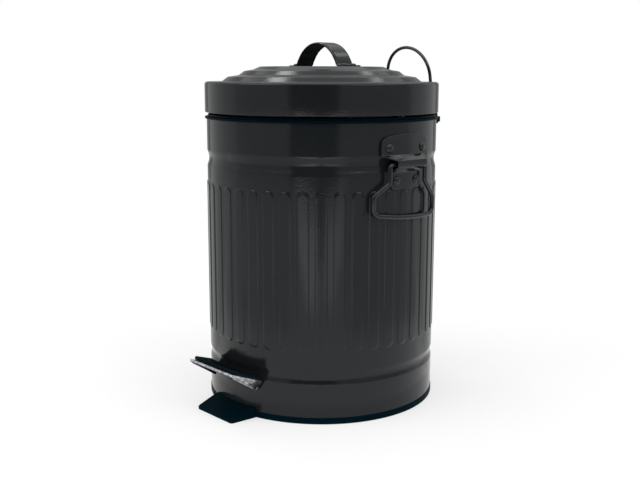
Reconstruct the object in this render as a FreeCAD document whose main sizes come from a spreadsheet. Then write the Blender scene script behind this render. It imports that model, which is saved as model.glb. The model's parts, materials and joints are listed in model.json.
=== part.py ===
import FreeCAD, Part
import Sketcher
import math
import os
from types import SimpleNamespace

# Pedal bin in the style of a galvanised dustbin. The origin is on the floor at the
# body's axis, +Z is up, the pedal faces -Y and the lid hinges at +Y.
# Lengths are in millimetres and angles in degrees.
SIZES = {
    # Body shell of sheet steel
    "body_radius": 100.6,
    "sheet_wall": 0.6,
    "shell_bottom": 5.6,
    "shell_height": 240.0,
    "upper_bead_drop": 33.6,
    "upper_bead_depth": 1.9,
    "upper_bead_reach": 7.0,
    "lower_bead_rise": 33.5,
    "lower_bead_depth": 1.6,
    "lower_bead_reach": 5.5,
    "rib_count": 43,
    "rib_start_rise": 55.4,
    "rib_end_drop": 53.6,
    "rib_foot_width": 10.4,
    "rib_face_width": 7.4,
    "rib_rise": 0.8,
    # Base ring with its tongue, and the floor plate
    "base_ring_proud": 0.5,
    "base_ring_width": 6.1,
    "base_step": 2.4,
    "floor_plate_wall": 0.8,
    "tongue_reach": 19.4,
    "tongue_tip_half": 24.0,
    "tongue_root_half": 26.0,
    "tongue_tip_height": 2.0,
    "tongue_root_height": 8.6,
    "tongue_corner": 2.5,
    # Rim ring on the shell's top edge
    "rim_bead_height": 3.9,
    "rim_bead_proud": 1.6,
    "rim_bead_width": 4.2,
    "rim_bead_round": 1.5,
    "rim_wall": 1.4,
    "rim_skirt_depth": 9.6,
    "rim_ledge_rise": 0.9,
    "rim_ledge_wall": 1.8,
    "rim_ledge_width": 7.1,
    # Lid with its stepped dome
    "lid_gap": 1.5,
    "lid_proud": 1.4,
    "lid_skirt_height": 26.0,
    "lid_corner": 2.5,
    "lid_hem_width": 1.6,
    "lid_hem_height": 1.4,
    "step_one_inset": 14.7,
    "step_one_run": 5.3,
    "step_one_rise": 4.0,
    "step_two_inset": 29.8,
    "step_two_run": 4.7,
    "step_two_foot_rise": 5.5,
    "step_two_rise": 3.5,
    "step_three_inset": 42.0,
    "step_three_run": 6.0,
    "step_three_foot_rise": 10.2,
    "step_three_rise": 2.6,
    "step_round": 2.0,
    "buffer_radius": 1.3,
    "buffer_play": 0.3,
    # Strap handle on the lid
    "strap_radius": 27.2,
    "strap_rise": 20.7,
    "strap_wall": 1.2,
    "strap_width": 19.0,
    "strap_foot": 10.0,
    "strap_rivet_spread": 10.0,
    # Rivets
    "rivet_head_radius": 3.0,
    "rivet_head_height": 1.5,
    "rivet_shank_radius": 1.7,
    "rivet_tail_radius": 2.6,
    "rivet_tail_height": 0.9,
    # Side handle plates
    "plate_wall": 1.2,
    "plate_half_width": 27.0,
    "plate_top_rise": 24.8,
    "plate_bow": 3.6,
    "plate_corner": 5.0,
    "plate_shelf_rise": 7.0,
    "tab_half_width": 16.8,
    "tab_drop": 19.7,
    "tab_lip_drop": 5.0,
    "channel_reach": 8.4,
    "channel_half_width": 17.0,
    "channel_top_rise": 4.3,
    "channel_drop": 1.5,
    "upper_rivet_rise": 13.4,
    "upper_rivet_half": 19.25,
    "lower_rivet_drop": 12.5,
    "lower_rivet_half": 11.2,
    # Drop bails of the side handles
    "bail_wire_radius": 1.6,
    "bail_reach": 3.2,
    "bail_slide": 0.4,
    "bail_rise": 0.5,
    "bail_neck_half": 20.8,
    "bail_knee_drop": 14.5,
    "bail_flare_half": 35.0,
    "bail_flare_drop": 26.5,
    "bail_foot_drop": 41.5,
    "bail_shoulder": 3.2,
    "bail_bend": 4.0,
    "bail_foot_bend": 6.0,
    # Lid hinge, its bracket on the back, and the loop
    "hinge_offset": 5.9,
    "hinge_rise": 19.0,
    "hinge_pin_radius": 1.5,
    "hinge_pin_overhang": 0.6,
    "pin_head_height": 1.2,
    "pin_head_growth": 1.2,
    "barrel_radius": 3.4,
    "barrel_half": 17.0,
    "arm_wall": 1.2,
    "arm_drop": 16.0,
    "arm_top_rise": 2.5,
    "arm_rivet_half": 13.0,
    "arm_rivet_drop": 11.0,
    "ear_gap": 1.0,
    "ear_width": 4.0,
    "ear_radius": 4.5,
    "ear_front": 3.6,
    "ear_foot": 9.0,
    "bracket_wall": 3.0,
    "bracket_half": 33.0,
    "bracket_top_drop": 1.2,
    "bracket_height": 23.0,
    "bracket_depth": 23.9,
    "bracket_shelf_wall": 5.0,
    "bracket_rivet_drop": 16.6,
    "bracket_inner_half": 12.6,
    "bracket_outer_half": 27.2,
    "gusset_half": 20.0,
    "gusset_wall": 3.0,
    "post_radius": 4.0,
    "post_rise": 6.5,
    "loop_wire_radius": 1.5,
    "loop_half": 27.0,
    "loop_flat": 0.3,
    "loop_lean": 9.65,
    "loop_height": 71.5,
    "loop_offset": 19.8,
    # Lid crank and push rod
    "lid_swing": 64.0,
    "rod_reach": 11.2,
    "rod_radius": 1.5,
    "rod_side": 5.0,
    "rod_tail": 4.5,
    "rod_bend": 3.5,
    "crank_wall": 3.0,
    "crank_half_height": 3.3,
    "crank_slot_play": 0.6,
    "skirt_notch_half": 8.5,
    "skirt_notch_rise": 21.0,
    "rod_notch_half": 3.2,
    "rod_notch_play": 1.0,
    "guide_level": 150.0,
    "guide_height": 16.0,
    "guide_half": 5.0,
    # Pedal
    "tread_reach": 23.9,
    "tread_level": 42.5,
    "tread_angle": 18.8,
    "tread_half": 28.0,
    "tread_wall": 1.5,
    "tread_lip": 3.6,
    "tread_wall_gap": 1.2,
    "strip_overlap": 3.6,
    "flange_low": 23.8,
    "flange_back": 1.9,
    "flange_corner": 2.0,
    "pad_inset": 6.0,
    "pad_half": 28.6,
    "pad_wall": 2.2,
    "pad_wall_gap": 1.5,
    "pad_rib_rise": 0.8,
    "pad_rib_width": 1.4,
    "pad_rib_pitch": 2.7,
    "pad_rib_count": 21,
    "strip_half": 5.0,
    "strip_level": 18.5,
    "strip_bend_inset": 26.0,
    "pivot_inset": 54.6,
    "pivot_rise": 4.5,
    "pivot_pin_radius": 2.0,
    "pivot_lug_half": 4.0,
    "rod_eye_play": 0.35,
    "rod_eye_wall": 0.9,
    "slot_play": 0.7,
    "slot_side_play": 1.0,
    "cradle_half": 8.0,
    "cradle_foot_half": 16.0,
    "cradle_wall": 1.2,
    "cradle_rivet_half": 12.0,
    # Inner bucket and its bail
    "bucket_floor_level": 42.0,
    "bucket_taper": 13.6,
    "bucket_side_gap": 3.1,
    "bucket_wall": 1.6,
    "bucket_floor_round": 4.0,
    "bucket_flange_wall": 1.8,
    "bucket_flange_gap": 1.0,
    "bucket_notch_half": 37.0,
    "bucket_notch_gap": 0.6,
    "ear_lug_inset": 3.8,
    "ear_lug_wall": 2.4,
    "ear_lug_half": 4.0,
    "bucket_bail_radius": 1.25,
    "bucket_bail_bend": 3.0,
    "bucket_bail_inset": 7.0,
    "bucket_bail_end_inset": 0.7,
    # Clearances
    "seat_gap": 0.05,
    "rivet_play": 0.05,
    "pin_play": 0.05,
    "shell_fit": 0.2,
    "bucket_seat_gap": 0.2,
    "bail_rest_gap": 0.45,
    # Depth of local cuts, and ratios for cuts past an edge and for rounded ends
    "cut_depth": 12.0,
    "overcut": 1.1,
    "undercut": 0.9,
    "full_round": 0.9,
}


class Size:
    """A number together with the sheet expression that gives it."""

    def __init__(self, value, text):
        self.value = value
        self.text = text

    def __add__(self, other):
        other = as_size(other)
        return Size(self.value + other.value, f"({self.text} + {other.text})")

    def __sub__(self, other):
        other = as_size(other)
        return Size(self.value - other.value, f"({self.text} - {other.text})")

    def __mul__(self, other):
        other = as_size(other)
        return Size(self.value * other.value, f"({self.text} * {other.text})")

    def __truediv__(self, other):
        other = as_size(other)
        return Size(self.value / other.value, f"({self.text} / {other.text})")

    def __neg__(self):
        return as_size(0) - self

    def __rsub__(self, other):
        return as_size(other) - self

    __radd__ = __add__
    __rmul__ = __mul__


def as_size(item):
    if isinstance(item, Size):
        return item
    return Size(float(item), f"({float(item)})")


def root(size):
    return Size(math.sqrt(size.value), f"sqrt({size.text})")


def cosine(angle):
    return Size(math.cos(math.radians(angle.value)), f"cos({angle.text})")


def sine(angle):
    return Size(math.sin(math.radians(angle.value)), f"sin({angle.text})")


def tangent(angle):
    return sine(angle) / cosine(angle)


doc = FreeCAD.newDocument("pedal_bin")
sheet = doc.addObject("Spreadsheet::Sheet", "Sizes")
for row, (name, value) in enumerate(SIZES.items(), start=1):
    sheet.set(f"A{row}", name)
    sheet.set(f"B{row}", str(value))
    sheet.setAlias(f"B{row}", name)
doc.recompute()
size = SimpleNamespace(**{name: Size(value, f"Sizes.{name}") for name, value in SIZES.items()})
nodes = []

# Levels and radii that several pieces share
shell_inner = size.body_radius - size.sheet_wall
shell_top = size.shell_bottom + size.shell_height
upper_bead = shell_top - size.upper_bead_drop
lower_bead = size.shell_bottom + size.lower_bead_rise
floor_level = size.shell_bottom + size.base_step
floor_top = floor_level + size.floor_plate_wall
rim_top = shell_top + size.rim_bead_height
rim_ledge = shell_top + size.rim_ledge_rise
lid_bottom = rim_top + size.lid_gap
lid_radius = size.body_radius + size.lid_proud
lid_brim = lid_bottom + size.lid_skirt_height
lid_top = lid_brim + size.step_three_foot_rise + size.step_three_rise
hinge_y = size.body_radius + size.hinge_offset
hinge_level = lid_bottom + size.hinge_rise
rod_y = hinge_y - size.rod_reach
half_swing = size.lid_swing / 2
half_lift = size.rod_reach * tangent(half_swing)
pivot_y = size.pivot_inset - size.body_radius
pivot_level = size.strip_level + size.pivot_rise
rear_arm = rod_y - pivot_y
wall_travel = size.pivot_inset * half_lift * 2 / rear_arm
rod_eye_level = pivot_level - half_lift
hook_level = hinge_level - half_lift
plate_inner = size.body_radius + size.seat_gap
plate_outer = plate_inner + size.plate_wall
bracket_inner = size.body_radius + size.seat_gap
bracket_outer = bracket_inner + size.bracket_wall
bail_level = upper_bead + size.bail_rise
bail_x = size.body_radius + size.bail_reach
bucket_ledge = rim_ledge + size.bucket_seat_gap
bucket_top = bucket_ledge + size.bucket_flange_wall
rim_outer = size.body_radius + size.rim_bead_proud
rim_bead_inner = rim_outer - size.rim_bead_width
rim_skirt_outer = shell_inner - size.shell_fit
rim_inner = rim_skirt_outer - size.rim_wall
rim_ledge_inner = rim_skirt_outer - size.rim_ledge_width
bucket_rim = rim_bead_inner - size.bucket_flange_gap
bucket_top_radius = rim_ledge_inner - size.bucket_side_gap
bucket_floor_radius = bucket_top_radius - size.bucket_taper
bucket_bail_level = bucket_top + size.bail_rest_gap + size.bucket_bail_radius
tread_front = size.body_radius + size.tread_reach
tread_depth = size.tread_wall / cosine(size.tread_angle)
rivet_hole = size.rivet_shank_radius + size.rivet_play


def tread_height(reach):
    """Level of the tread's top face at a distance in front of the body's axis."""
    return size.tread_level - (tread_front - reach) * tangent(size.tread_angle)


def new_body(label):
    body = doc.addObject("PartDesign::Body", label)
    body.Label = label
    return body


def keep(piece):
    nodes.append(piece)
    return piece


def new_sketch(body, role, name, offset=None):
    """A sketch on one of the body's origin planes, moved along the plane's normal."""
    plane = next(item for item in body.Origin.OriginFeatures if item.Role == role)
    sketch = body.newObject("Sketcher::SketchObject", name)
    sketch.AttachmentSupport = [(plane, "")]
    sketch.MapMode = "FlatFace"
    if offset is not None:
        sketch.AttachmentOffset.Base.z = offset.value
        sketch.setExpression("AttachmentOffset.Base.z", offset.text)
    return sketch


def heading_axes(heading):
    """Placement rotation that turns a sketch to face outwards at a heading from +X."""
    angle = math.radians(heading)
    outward = FreeCAD.Vector(math.cos(angle), math.sin(angle), 0)
    sideways = FreeCAD.Vector(-math.sin(angle), math.cos(angle), 0)
    return outward, FreeCAD.Rotation(sideways, FreeCAD.Vector(0, 0, 1), outward)


def radial_sketch(body, name, heading, reach):
    """A sketch that faces outwards at a heading, at a distance from the body's axis."""
    sketch = new_sketch(body, "XY_Plane", name)
    outward, turn = heading_axes(heading)
    sketch.AttachmentOffset = FreeCAD.Placement(outward * reach.value, turn)
    return sketch


def fix_length(sketch, constraint, length):
    index = sketch.addConstraint(constraint)
    sketch.setExpression(f"Constraints[{index}]", length.text)


def locate(sketch, curve, point, across, up):
    """Tie a point of the sketch to its distances from the sketch's origin."""
    for kind, distance, axis in (("DistanceX", across, -2), ("DistanceY", up, -1)):
        if distance.value == 0:
            sketch.addConstraint(Sketcher.Constraint("PointOnObject", curve, point, axis))
        else:
            fix_length(sketch, Sketcher.Constraint(kind, -1, 1, curve, point, distance.value), distance)


def arc_between(start, end, radius, turn):
    """An arc from start to end; turn is 1 anticlockwise and -1 clockwise."""
    if turn < 0:
        start, end = end, start
    chord = end - start
    rise = math.sqrt(max(radius ** 2 - chord.Length ** 2 / 4, 0))
    left = FreeCAD.Vector(-chord.y, chord.x, 0).normalize()
    centre = (start + end) / 2 + left * rise
    circle = Part.Circle(centre, FreeCAD.Vector(0, 0, 1), radius)
    first = math.atan2(start.y - centre.y, start.x - centre.x)
    last = math.atan2(end.y - centre.y, end.x - centre.x)
    return Part.ArcOfCircle(circle, first, last)


def read_corners(items):
    """Corners as sizes, and the arcs that stand between two of them."""
    corners = []
    arcs = {}
    for item in items:
        if item[0] == "arc":
            arcs[len(corners) - 1] = (as_size(item[1]), item[2])
        else:
            corners.append([as_size(value) for value in item])
    return corners, arcs


def round_corner(before, here, after, radius):
    """Tangent points and turning sense of a rounded corner."""
    back = (before - here).normalize()
    ahead = (after - here).normalize()
    reach = radius / math.tan(back.getAngle(ahead) / 2)
    turn = 1 if ahead.cross(back).z > 0 else -1
    return here + back * reach, here + ahead * reach, turn


def draw(sketch, items, closed=True):
    """Draw an outline or a path. A corner is (across, up) or (across, up, radius), and
    ("arc", radius, turn) between two corners joins them by an arc."""
    corners, arcs = read_corners(items)
    count = len(corners)
    places = [FreeCAD.Vector(corner[0].value, corner[1].value, 0) for corner in corners]
    arrive = list(places)
    leave = list(places)
    turns = {}
    for index, corner in enumerate(corners):
        if len(corner) == 3:
            after = places[(index + 1) % count]
            rounded = round_corner(places[index - 1], places[index], after, corner[2].value)
            arrive[index], leave[index], turns[index] = rounded
    runs = []
    for index in range(count if closed else count - 1):
        start = leave[index]
        end = arrive[(index + 1) % count]
        if index in arcs:
            radius, turn = arcs[index]
            curve = sketch.addGeometry(arc_between(start, end, radius.value, turn), False)
            fix_length(sketch, Sketcher.Constraint("Radius", curve, radius.value), radius)
            runs.append((curve, 1 if turn > 0 else 2, 2 if turn > 0 else 1))
        else:
            curve = sketch.addGeometry(Part.LineSegment(start, end), False)
            runs.append((curve, 1, 2))
    for index, corner in enumerate(corners):
        join_corner(sketch, index, corner, runs, places, arrive, leave, turns, closed)


def join_corner(sketch, index, corner, runs, places, arrive, leave, turns, closed):
    """Join the runs that meet at a corner, sharp or rounded, and tie the corner down."""
    if not closed and index == len(runs):
        locate(sketch, runs[-1][0], runs[-1][2], corner[0], corner[1])
        return
    following, follow_start, _ = runs[index]
    if not closed and index == 0:
        locate(sketch, following, follow_start, corner[0], corner[1])
        return
    previous, _, previous_end = runs[index - 1]
    if index not in turns:
        sketch.addConstraint(
            Sketcher.Constraint("Coincident", previous, previous_end, following, follow_start))
        locate(sketch, following, follow_start, corner[0], corner[1])
        return
    radius = corner[2]
    arc = sketch.addGeometry(arc_between(arrive[index], leave[index], radius.value, turns[index]), False)
    first, last = (1, 2) if turns[index] > 0 else (2, 1)
    sketch.addConstraint(Sketcher.Constraint("Tangent", previous, previous_end, arc, first))
    sketch.addConstraint(Sketcher.Constraint("Tangent", arc, last, following, follow_start))
    fix_length(sketch, Sketcher.Constraint("Radius", arc, radius.value), radius)
    spot = sketch.addGeometry(Part.Point(places[index]), True)
    sketch.addConstraint(Sketcher.Constraint("PointOnObject", spot, 1, previous))
    sketch.addConstraint(Sketcher.Constraint("PointOnObject", spot, 1, following))
    locate(sketch, spot, 1, corner[0], corner[1])


def draw_circle(sketch, across, up, radius):
    centre = FreeCAD.Vector(as_size(across).value, as_size(up).value, 0)
    ring = Part.Circle(centre, FreeCAD.Vector(0, 0, 1), radius.value)
    curve = sketch.addGeometry(ring, False)
    fix_length(sketch, Sketcher.Constraint("Radius", curve, radius.value), radius)
    locate(sketch, curve, 3, as_size(across), as_size(up))


def draw_slot(sketch, width, bottom, top):
    """An upright slot outline with half-round ends, centred across."""
    radius = width / 2
    low = bottom + radius
    high = top - radius
    left = FreeCAD.Vector(-radius.value, low.value, 0)
    left_end = FreeCAD.Vector(-radius.value, high.value, 0)
    right = FreeCAD.Vector(radius.value, low.value, 0)
    right_end = FreeCAD.Vector(radius.value, high.value, 0)
    left_line = sketch.addGeometry(Part.LineSegment(left_end, left), False)
    foot = sketch.addGeometry(arc_between(left, right, radius.value, 1), False)
    right_line = sketch.addGeometry(Part.LineSegment(right, right_end), False)
    head = sketch.addGeometry(arc_between(right_end, left_end, radius.value, 1), False)
    chain = [left_line, foot, right_line, head]
    for first, second in zip(chain, chain[1:] + chain[:1]):
        sketch.addConstraint(Sketcher.Constraint("Tangent", first, 2, second, 1))
    for arc in (foot, head):
        fix_length(sketch, Sketcher.Constraint("Radius", arc, radius.value), radius)
    locate(sketch, left_line, 2, -radius, low)
    locate(sketch, left_line, 1, -radius, high)


def pad(body, sketch, length, symmetric=True):
    feature = body.newObject("PartDesign::Pad", sketch.Name + "_pad")
    feature.Profile = sketch
    feature.SideType = "Symmetric" if symmetric else "One side"
    feature.Length = length.value
    feature.setExpression("Length", length.text)
    return feature


def pocket(body, sketch, depth=None):
    """Cut both ways from the sketch, through everything or over a depth in all."""
    doc.recompute()
    before = body.Shape.Volume
    feature = body.newObject("PartDesign::Pocket", sketch.Name + "_cut")
    feature.Profile = sketch
    feature.SideType = "Symmetric"
    if depth is None:
        feature.Type = "ThroughAll"
    else:
        feature.Length = depth.value
        feature.setExpression("Length", depth.text)
    doc.recompute()
    if body.Shape.Volume >= before:
        raise RuntimeError(f"{feature.Name} cuts nothing")
    return feature


def revolve(body, sketch, axis="V_Axis", angle=None):
    feature = body.newObject("PartDesign::Revolution", sketch.Name + "_turn")
    feature.Profile = sketch
    feature.ReferenceAxis = (sketch, [axis])
    feature.Angle = 360
    if angle is not None:
        feature.Midplane = True
        feature.Angle = angle.value
        feature.setExpression("Angle", angle.text)
    return feature


def pipe(body, path, section):
    feature = body.newObject("PartDesign::AdditivePipe", path.Name + "_pipe")
    feature.Profile = section
    feature.Spine = path
    return feature


def tube_cut(body, name, radius):
    """Remove everything within a radius of the body's axis."""
    sketch = new_sketch(body, "XY_Plane", name)
    draw_circle(sketch, 0, 0, radius)
    return pocket(body, sketch)


def radial_hole(body, name, heading, reach, level, radius):
    sketch = radial_sketch(body, name, heading, reach)
    draw_circle(sketch, 0, level, radius)
    return pocket(body, sketch, size.cut_depth)


def group(label, pieces):
    compound = doc.addObject("Part::Compound", label)
    compound.Links = pieces
    compound.Label = label
    return keep(compound)


def make_rivet(name, grip, place):
    """A dome rivet along its own Z, its head seated at z = 0 and its tail past the grip."""
    body = new_body(name)
    profile = new_sketch(body, "XZ_Plane", name + "_profile")
    head = size.rivet_head_radius
    rise = size.rivet_head_height
    tail = -grip - size.seat_gap
    dome = (head * head + rise * rise) / (rise * 2)
    draw(profile, [
        (0, tail - size.rivet_tail_height),
        (size.rivet_tail_radius, tail - size.rivet_tail_height),
        (size.rivet_tail_radius, tail),
        (size.rivet_shank_radius, tail),
        (size.rivet_shank_radius, 0),
        (head, 0),
        ("arc", dome, 1),
        (0, rise),
    ])
    revolve(body, profile)
    body.Placement = place
    return body


def radial_place(heading, reach, level):
    """Placement that stands a rivet on a round wall, its Z axis outwards."""
    outward, _ = heading_axes(heading)
    turn = FreeCAD.Rotation(FreeCAD.Vector(0, 0, 1), outward)
    return FreeCAD.Placement(outward * reach.value + FreeCAD.Vector(0, 0, level.value), turn)


def make_pin(label, half_length, radius, place_y, place_z):
    """A pin along X with a flat head at each end."""
    body = new_body(label)
    profile = new_sketch(body, "XY_Plane", label + "_profile")
    head = radius + size.pin_head_growth
    neck = half_length - size.pin_head_height
    draw(profile, [
        (-half_length, 0),
        (half_length, 0),
        (half_length, head),
        (neck, head),
        (neck, radius),
        (-neck, radius),
        (-neck, head),
        (-half_length, head),
    ])
    revolve(body, profile, "H_Axis")
    body.Placement.Base = FreeCAD.Vector(0, place_y.value, place_z.value)
    body.setExpression("Placement.Base.y", place_y.text)
    body.setExpression("Placement.Base.z", place_z.text)
    return keep(body)


def bead_radius(reach, depth):
    return (reach * reach + depth * depth) / (depth * 2)


def turn_for(half, reach):
    """Turn about the body's axis that brings a spot at this reach half a span to the side."""
    return math.degrees(math.asin(half.value / reach.value))


def side_rivet_spots():
    """Heading from the plate's middle and level of each rivet of a side plate."""
    upper = upper_bead + size.upper_rivet_rise
    lower = upper_bead - size.lower_rivet_drop
    spots = []
    for sign in (1, -1):
        spots.append((sign * turn_for(size.upper_rivet_half, plate_outer), upper))
        spots.append((sign * turn_for(size.lower_rivet_half, plate_outer), lower))
    return spots


def bracket_rivet_headings():
    """Headings from +X of the hinge bracket's rivets, about the back."""
    headings = []
    for half in (size.bracket_inner_half, size.bracket_outer_half):
        turn = turn_for(half, bracket_outer)
        headings += [90 - turn, 90 + turn]
    return headings


bracket_rivet_level = shell_top - size.bracket_rivet_drop


def make_body_shell():
    body = new_body("body_shell")
    outer = size.body_radius
    low_arc = bead_radius(size.lower_bead_reach, size.lower_bead_depth)
    high_arc = bead_radius(size.upper_bead_reach, size.upper_bead_depth)
    profile = new_sketch(body, "XZ_Plane", "shell_profile")
    draw(profile, [
        (shell_inner, size.shell_bottom),
        (outer, size.shell_bottom),
        (outer, lower_bead - size.lower_bead_reach),
        ("arc", low_arc, -1),
        (outer, lower_bead + size.lower_bead_reach),
        (outer, upper_bead - size.upper_bead_reach),
        ("arc", high_arc, -1),
        (outer, upper_bead + size.upper_bead_reach),
        (outer, shell_top),
        (shell_inner, shell_top),
        (shell_inner, upper_bead + size.upper_bead_reach),
        ("arc", high_arc, 1),
        (shell_inner, upper_bead - size.upper_bead_reach),
        (shell_inner, lower_bead + size.lower_bead_reach),
        ("arc", low_arc, 1),
        (shell_inner, lower_bead - size.lower_bead_reach),
    ])
    revolve(body, profile)
    # Slot for the pedal lever, as tall as its travel at the wall
    slot_top = tread_height(size.body_radius) + size.slot_play
    slot_bottom = slot_top - tread_depth - wall_travel - size.slot_play * 2
    slot_half = size.strip_half + size.slot_side_play
    slot = new_sketch(body, "XZ_Plane", "lever_slot", size.body_radius)
    draw(slot, [
        (-slot_half, slot_bottom),
        (slot_half, slot_bottom),
        (slot_half, slot_top),
        (-slot_half, slot_top),
    ])
    pocket(body, slot, size.cut_depth)
    # Rivet holes of both side plates and of the hinge bracket
    for side, middle in (("right", 0), ("left", 180)):
        for number, (turn, level) in enumerate(side_rivet_spots(), start=1):
            radial_hole(body, f"{side}_hole_{number}", middle + turn, size.body_radius, level, rivet_hole)
    for number, heading in enumerate(bracket_rivet_headings(), start=1):
        name = f"bracket_hole_{number}"
        radial_hole(body, name, heading, size.body_radius, bracket_rivet_level, rivet_hole)
    # Raised ribs, one of them at the middle of the back
    foot = new_sketch(body, "XZ_Plane", "rib_foot", size.sheet_wall / 2 - size.body_radius)
    face = new_sketch(body, "XZ_Plane", "rib_face", -size.rib_rise - size.body_radius)
    wall_run = (size.rib_foot_width - size.rib_face_width) / 2
    rib_bottom = size.shell_bottom + size.rib_start_rise
    rib_top = shell_top - size.rib_end_drop
    draw_slot(foot, size.rib_foot_width, rib_bottom, rib_top)
    draw_slot(face, size.rib_face_width, rib_bottom + wall_run, rib_top - wall_run)
    rib = body.newObject("PartDesign::AdditiveLoft", "rib")
    rib.Profile = foot
    rib.Sections = [face]
    rib.Ruled = True
    ribs = body.newObject("PartDesign::PolarPattern", "ribs")
    ribs.Originals = [rib]
    ribs.Axis = (profile, ["V_Axis"])
    ribs.Angle = 360
    ribs.Occurrences = int(size.rib_count.value)
    ribs.setExpression("Occurrences", size.rib_count.text)
    body.Tip = ribs
    return keep(body)


def make_base_ring():
    body = new_body("base_ring")
    outer = size.body_radius + size.base_ring_proud
    inner = outer - size.base_ring_width
    step = shell_inner - size.shell_fit
    tip = size.body_radius + size.tongue_reach
    plan = new_sketch(body, "XY_Plane", "tongue_plan")
    draw(plan, [
        (-size.tongue_root_half, -inner),
        (-size.tongue_tip_half, -tip, size.tongue_corner),
        (size.tongue_tip_half, -tip, size.tongue_corner),
        (size.tongue_root_half, -inner),
    ])
    pad(body, plan, size.tongue_root_height, symmetric=False)
    slope = new_sketch(body, "YZ_Plane", "tongue_slope")
    draw(slope, [
        (-tip, size.tongue_tip_height),
        (-size.body_radius, size.tongue_root_height),
        (-size.body_radius, size.tongue_root_height * 2),
        (-tip, size.tongue_root_height * 2),
    ])
    pocket(body, slope)
    seat = new_sketch(body, "XY_Plane", "shell_seat", size.shell_bottom + size.tongue_root_height)
    draw_circle(seat, 0, 0, size.body_radius + size.shell_fit)
    pocket(body, seat, size.tongue_root_height * 2)
    section = new_sketch(body, "XZ_Plane", "ring_section")
    draw(section, [
        (inner, 0),
        (outer, 0),
        (outer, size.shell_bottom),
        (step, size.shell_bottom),
        (step, floor_level),
        (inner, floor_level),
    ])
    revolve(body, section)
    return keep(body)


def cradle_rivet_spots():
    return [pivot_y - size.cradle_rivet_half, pivot_y + size.cradle_rivet_half]


def make_base_plate():
    body = new_body("base_plate")
    plan = new_sketch(body, "XY_Plane", "floor_plan", floor_level)
    draw_circle(plan, 0, 0, shell_inner - size.shell_fit)
    for spot in cradle_rivet_spots():
        draw_circle(plan, 0, spot, rivet_hole)
    pad(body, plan, size.floor_plate_wall, symmetric=False)
    return keep(body)


def make_rim_ring():
    body = new_body("rim_ring")
    section = new_sketch(body, "XZ_Plane", "rim_section")
    draw(section, [
        (rim_skirt_outer, shell_top),
        (rim_outer, shell_top),
        (rim_outer, rim_top, size.rim_bead_round),
        (rim_bead_inner, rim_top),
        (rim_bead_inner, rim_ledge),
        (rim_ledge_inner, rim_ledge),
        (rim_ledge_inner, rim_ledge - size.rim_ledge_wall),
        (rim_inner, rim_ledge - size.rim_ledge_wall),
        (rim_inner, shell_top - size.rim_skirt_depth),
        (rim_skirt_outer, shell_top - size.rim_skirt_depth),
    ])
    revolve(body, section)
    # Notch that lets the push rod through the ledge
    notch = new_sketch(body, "XY_Plane", "rod_notch")
    left = size.rod_side - size.rod_notch_half
    right = size.rod_side + size.rod_notch_half
    back = rod_y + size.rod_radius + size.rod_notch_play
    front = rim_ledge_inner * size.undercut
    draw(notch, [(left, back), (left, front), (right, front), (right, back)])
    pocket(body, notch)
    return keep(body)


def make_lid_buffers():
    pads = []
    reach = (rim_outer + rim_bead_inner) / 2
    for number, heading in enumerate((210, 330, 60, 120), start=1):
        outward, _ = heading_axes(heading)
        button = doc.addObject("Part::Cylinder", f"lid_buffer_{number}")
        button.setExpression("Radius", size.buffer_radius.text)
        button.setExpression("Height", (size.lid_gap - size.buffer_play).text)
        button.Placement.Base = outward * reach.value + FreeCAD.Vector(0, 0, rim_top.value)
        pads.append(button)
    return group("lid_buffers", pads)


def make_inner_bucket():
    body = new_body("inner_bucket")
    wall = size.bucket_wall
    floor = size.bucket_floor_level
    profile = new_sketch(body, "XZ_Plane", "bucket_profile")
    draw(profile, [
        (0, floor),
        (bucket_floor_radius, floor, size.bucket_floor_round),
        (bucket_top_radius, bucket_ledge),
        (bucket_rim, bucket_ledge),
        (bucket_rim, bucket_top),
        (bucket_top_radius - wall, bucket_top),
        (bucket_floor_radius - wall, floor + wall, size.bucket_floor_round - wall),
        (0, floor + wall),
    ])
    revolve(body, profile)
    # The flange is cut straight at the back, clear of the push rod and the lid's crank
    notch = new_sketch(body, "XY_Plane", "flange_notch")
    front = bucket_top_radius + size.bucket_notch_gap
    back = bucket_rim * size.overcut
    half = size.bucket_notch_half
    draw(notch, [(-half, front), (half, front), (half, back), (-half, back)])
    pocket(body, notch)
    # Two lugs that hold the bail
    middle = bucket_rim - size.ear_lug_inset + size.ear_lug_wall / 2
    lug_top = bucket_bail_level + size.ear_lug_half
    for name, sign in (("right", 1), ("left", -1)):
        lug = new_sketch(body, "YZ_Plane", f"{name}_lug", middle * sign)
        draw(lug, [
            (-size.ear_lug_half, bucket_ledge),
            (size.ear_lug_half, bucket_ledge),
            (size.ear_lug_half, lug_top, size.ear_lug_half * size.full_round),
            (-size.ear_lug_half, lug_top, size.ear_lug_half * size.full_round),
        ])
        pad(body, lug, size.ear_lug_wall)
    bores = new_sketch(body, "YZ_Plane", "bail_bores")
    draw_circle(bores, 0, bucket_bail_level, size.bucket_bail_radius + size.pin_play * 2)
    pocket(body, bores)
    return keep(body)


def make_bucket_bail():
    body = new_body("bucket_bail")
    end = bucket_rim - size.bucket_bail_end_inset
    half = bucket_rim - size.bucket_bail_inset
    bend = size.bucket_bail_bend
    sweep = half - bend - size.bucket_bail_radius
    path = new_sketch(body, "XY_Plane", "bucket_bail_path", bucket_bail_level)
    draw(path, [
        (end, 0),
        (half, 0, bend),
        (half, -half, sweep),
        (-half, -half, sweep),
        (-half, 0, bend),
        (-end, 0),
    ], closed=False)
    section = new_sketch(body, "YZ_Plane", "bucket_bail_section", end)
    draw_circle(section, 0, bucket_bail_level, size.bucket_bail_radius)
    pipe(body, path, section)
    return keep(body)


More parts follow.
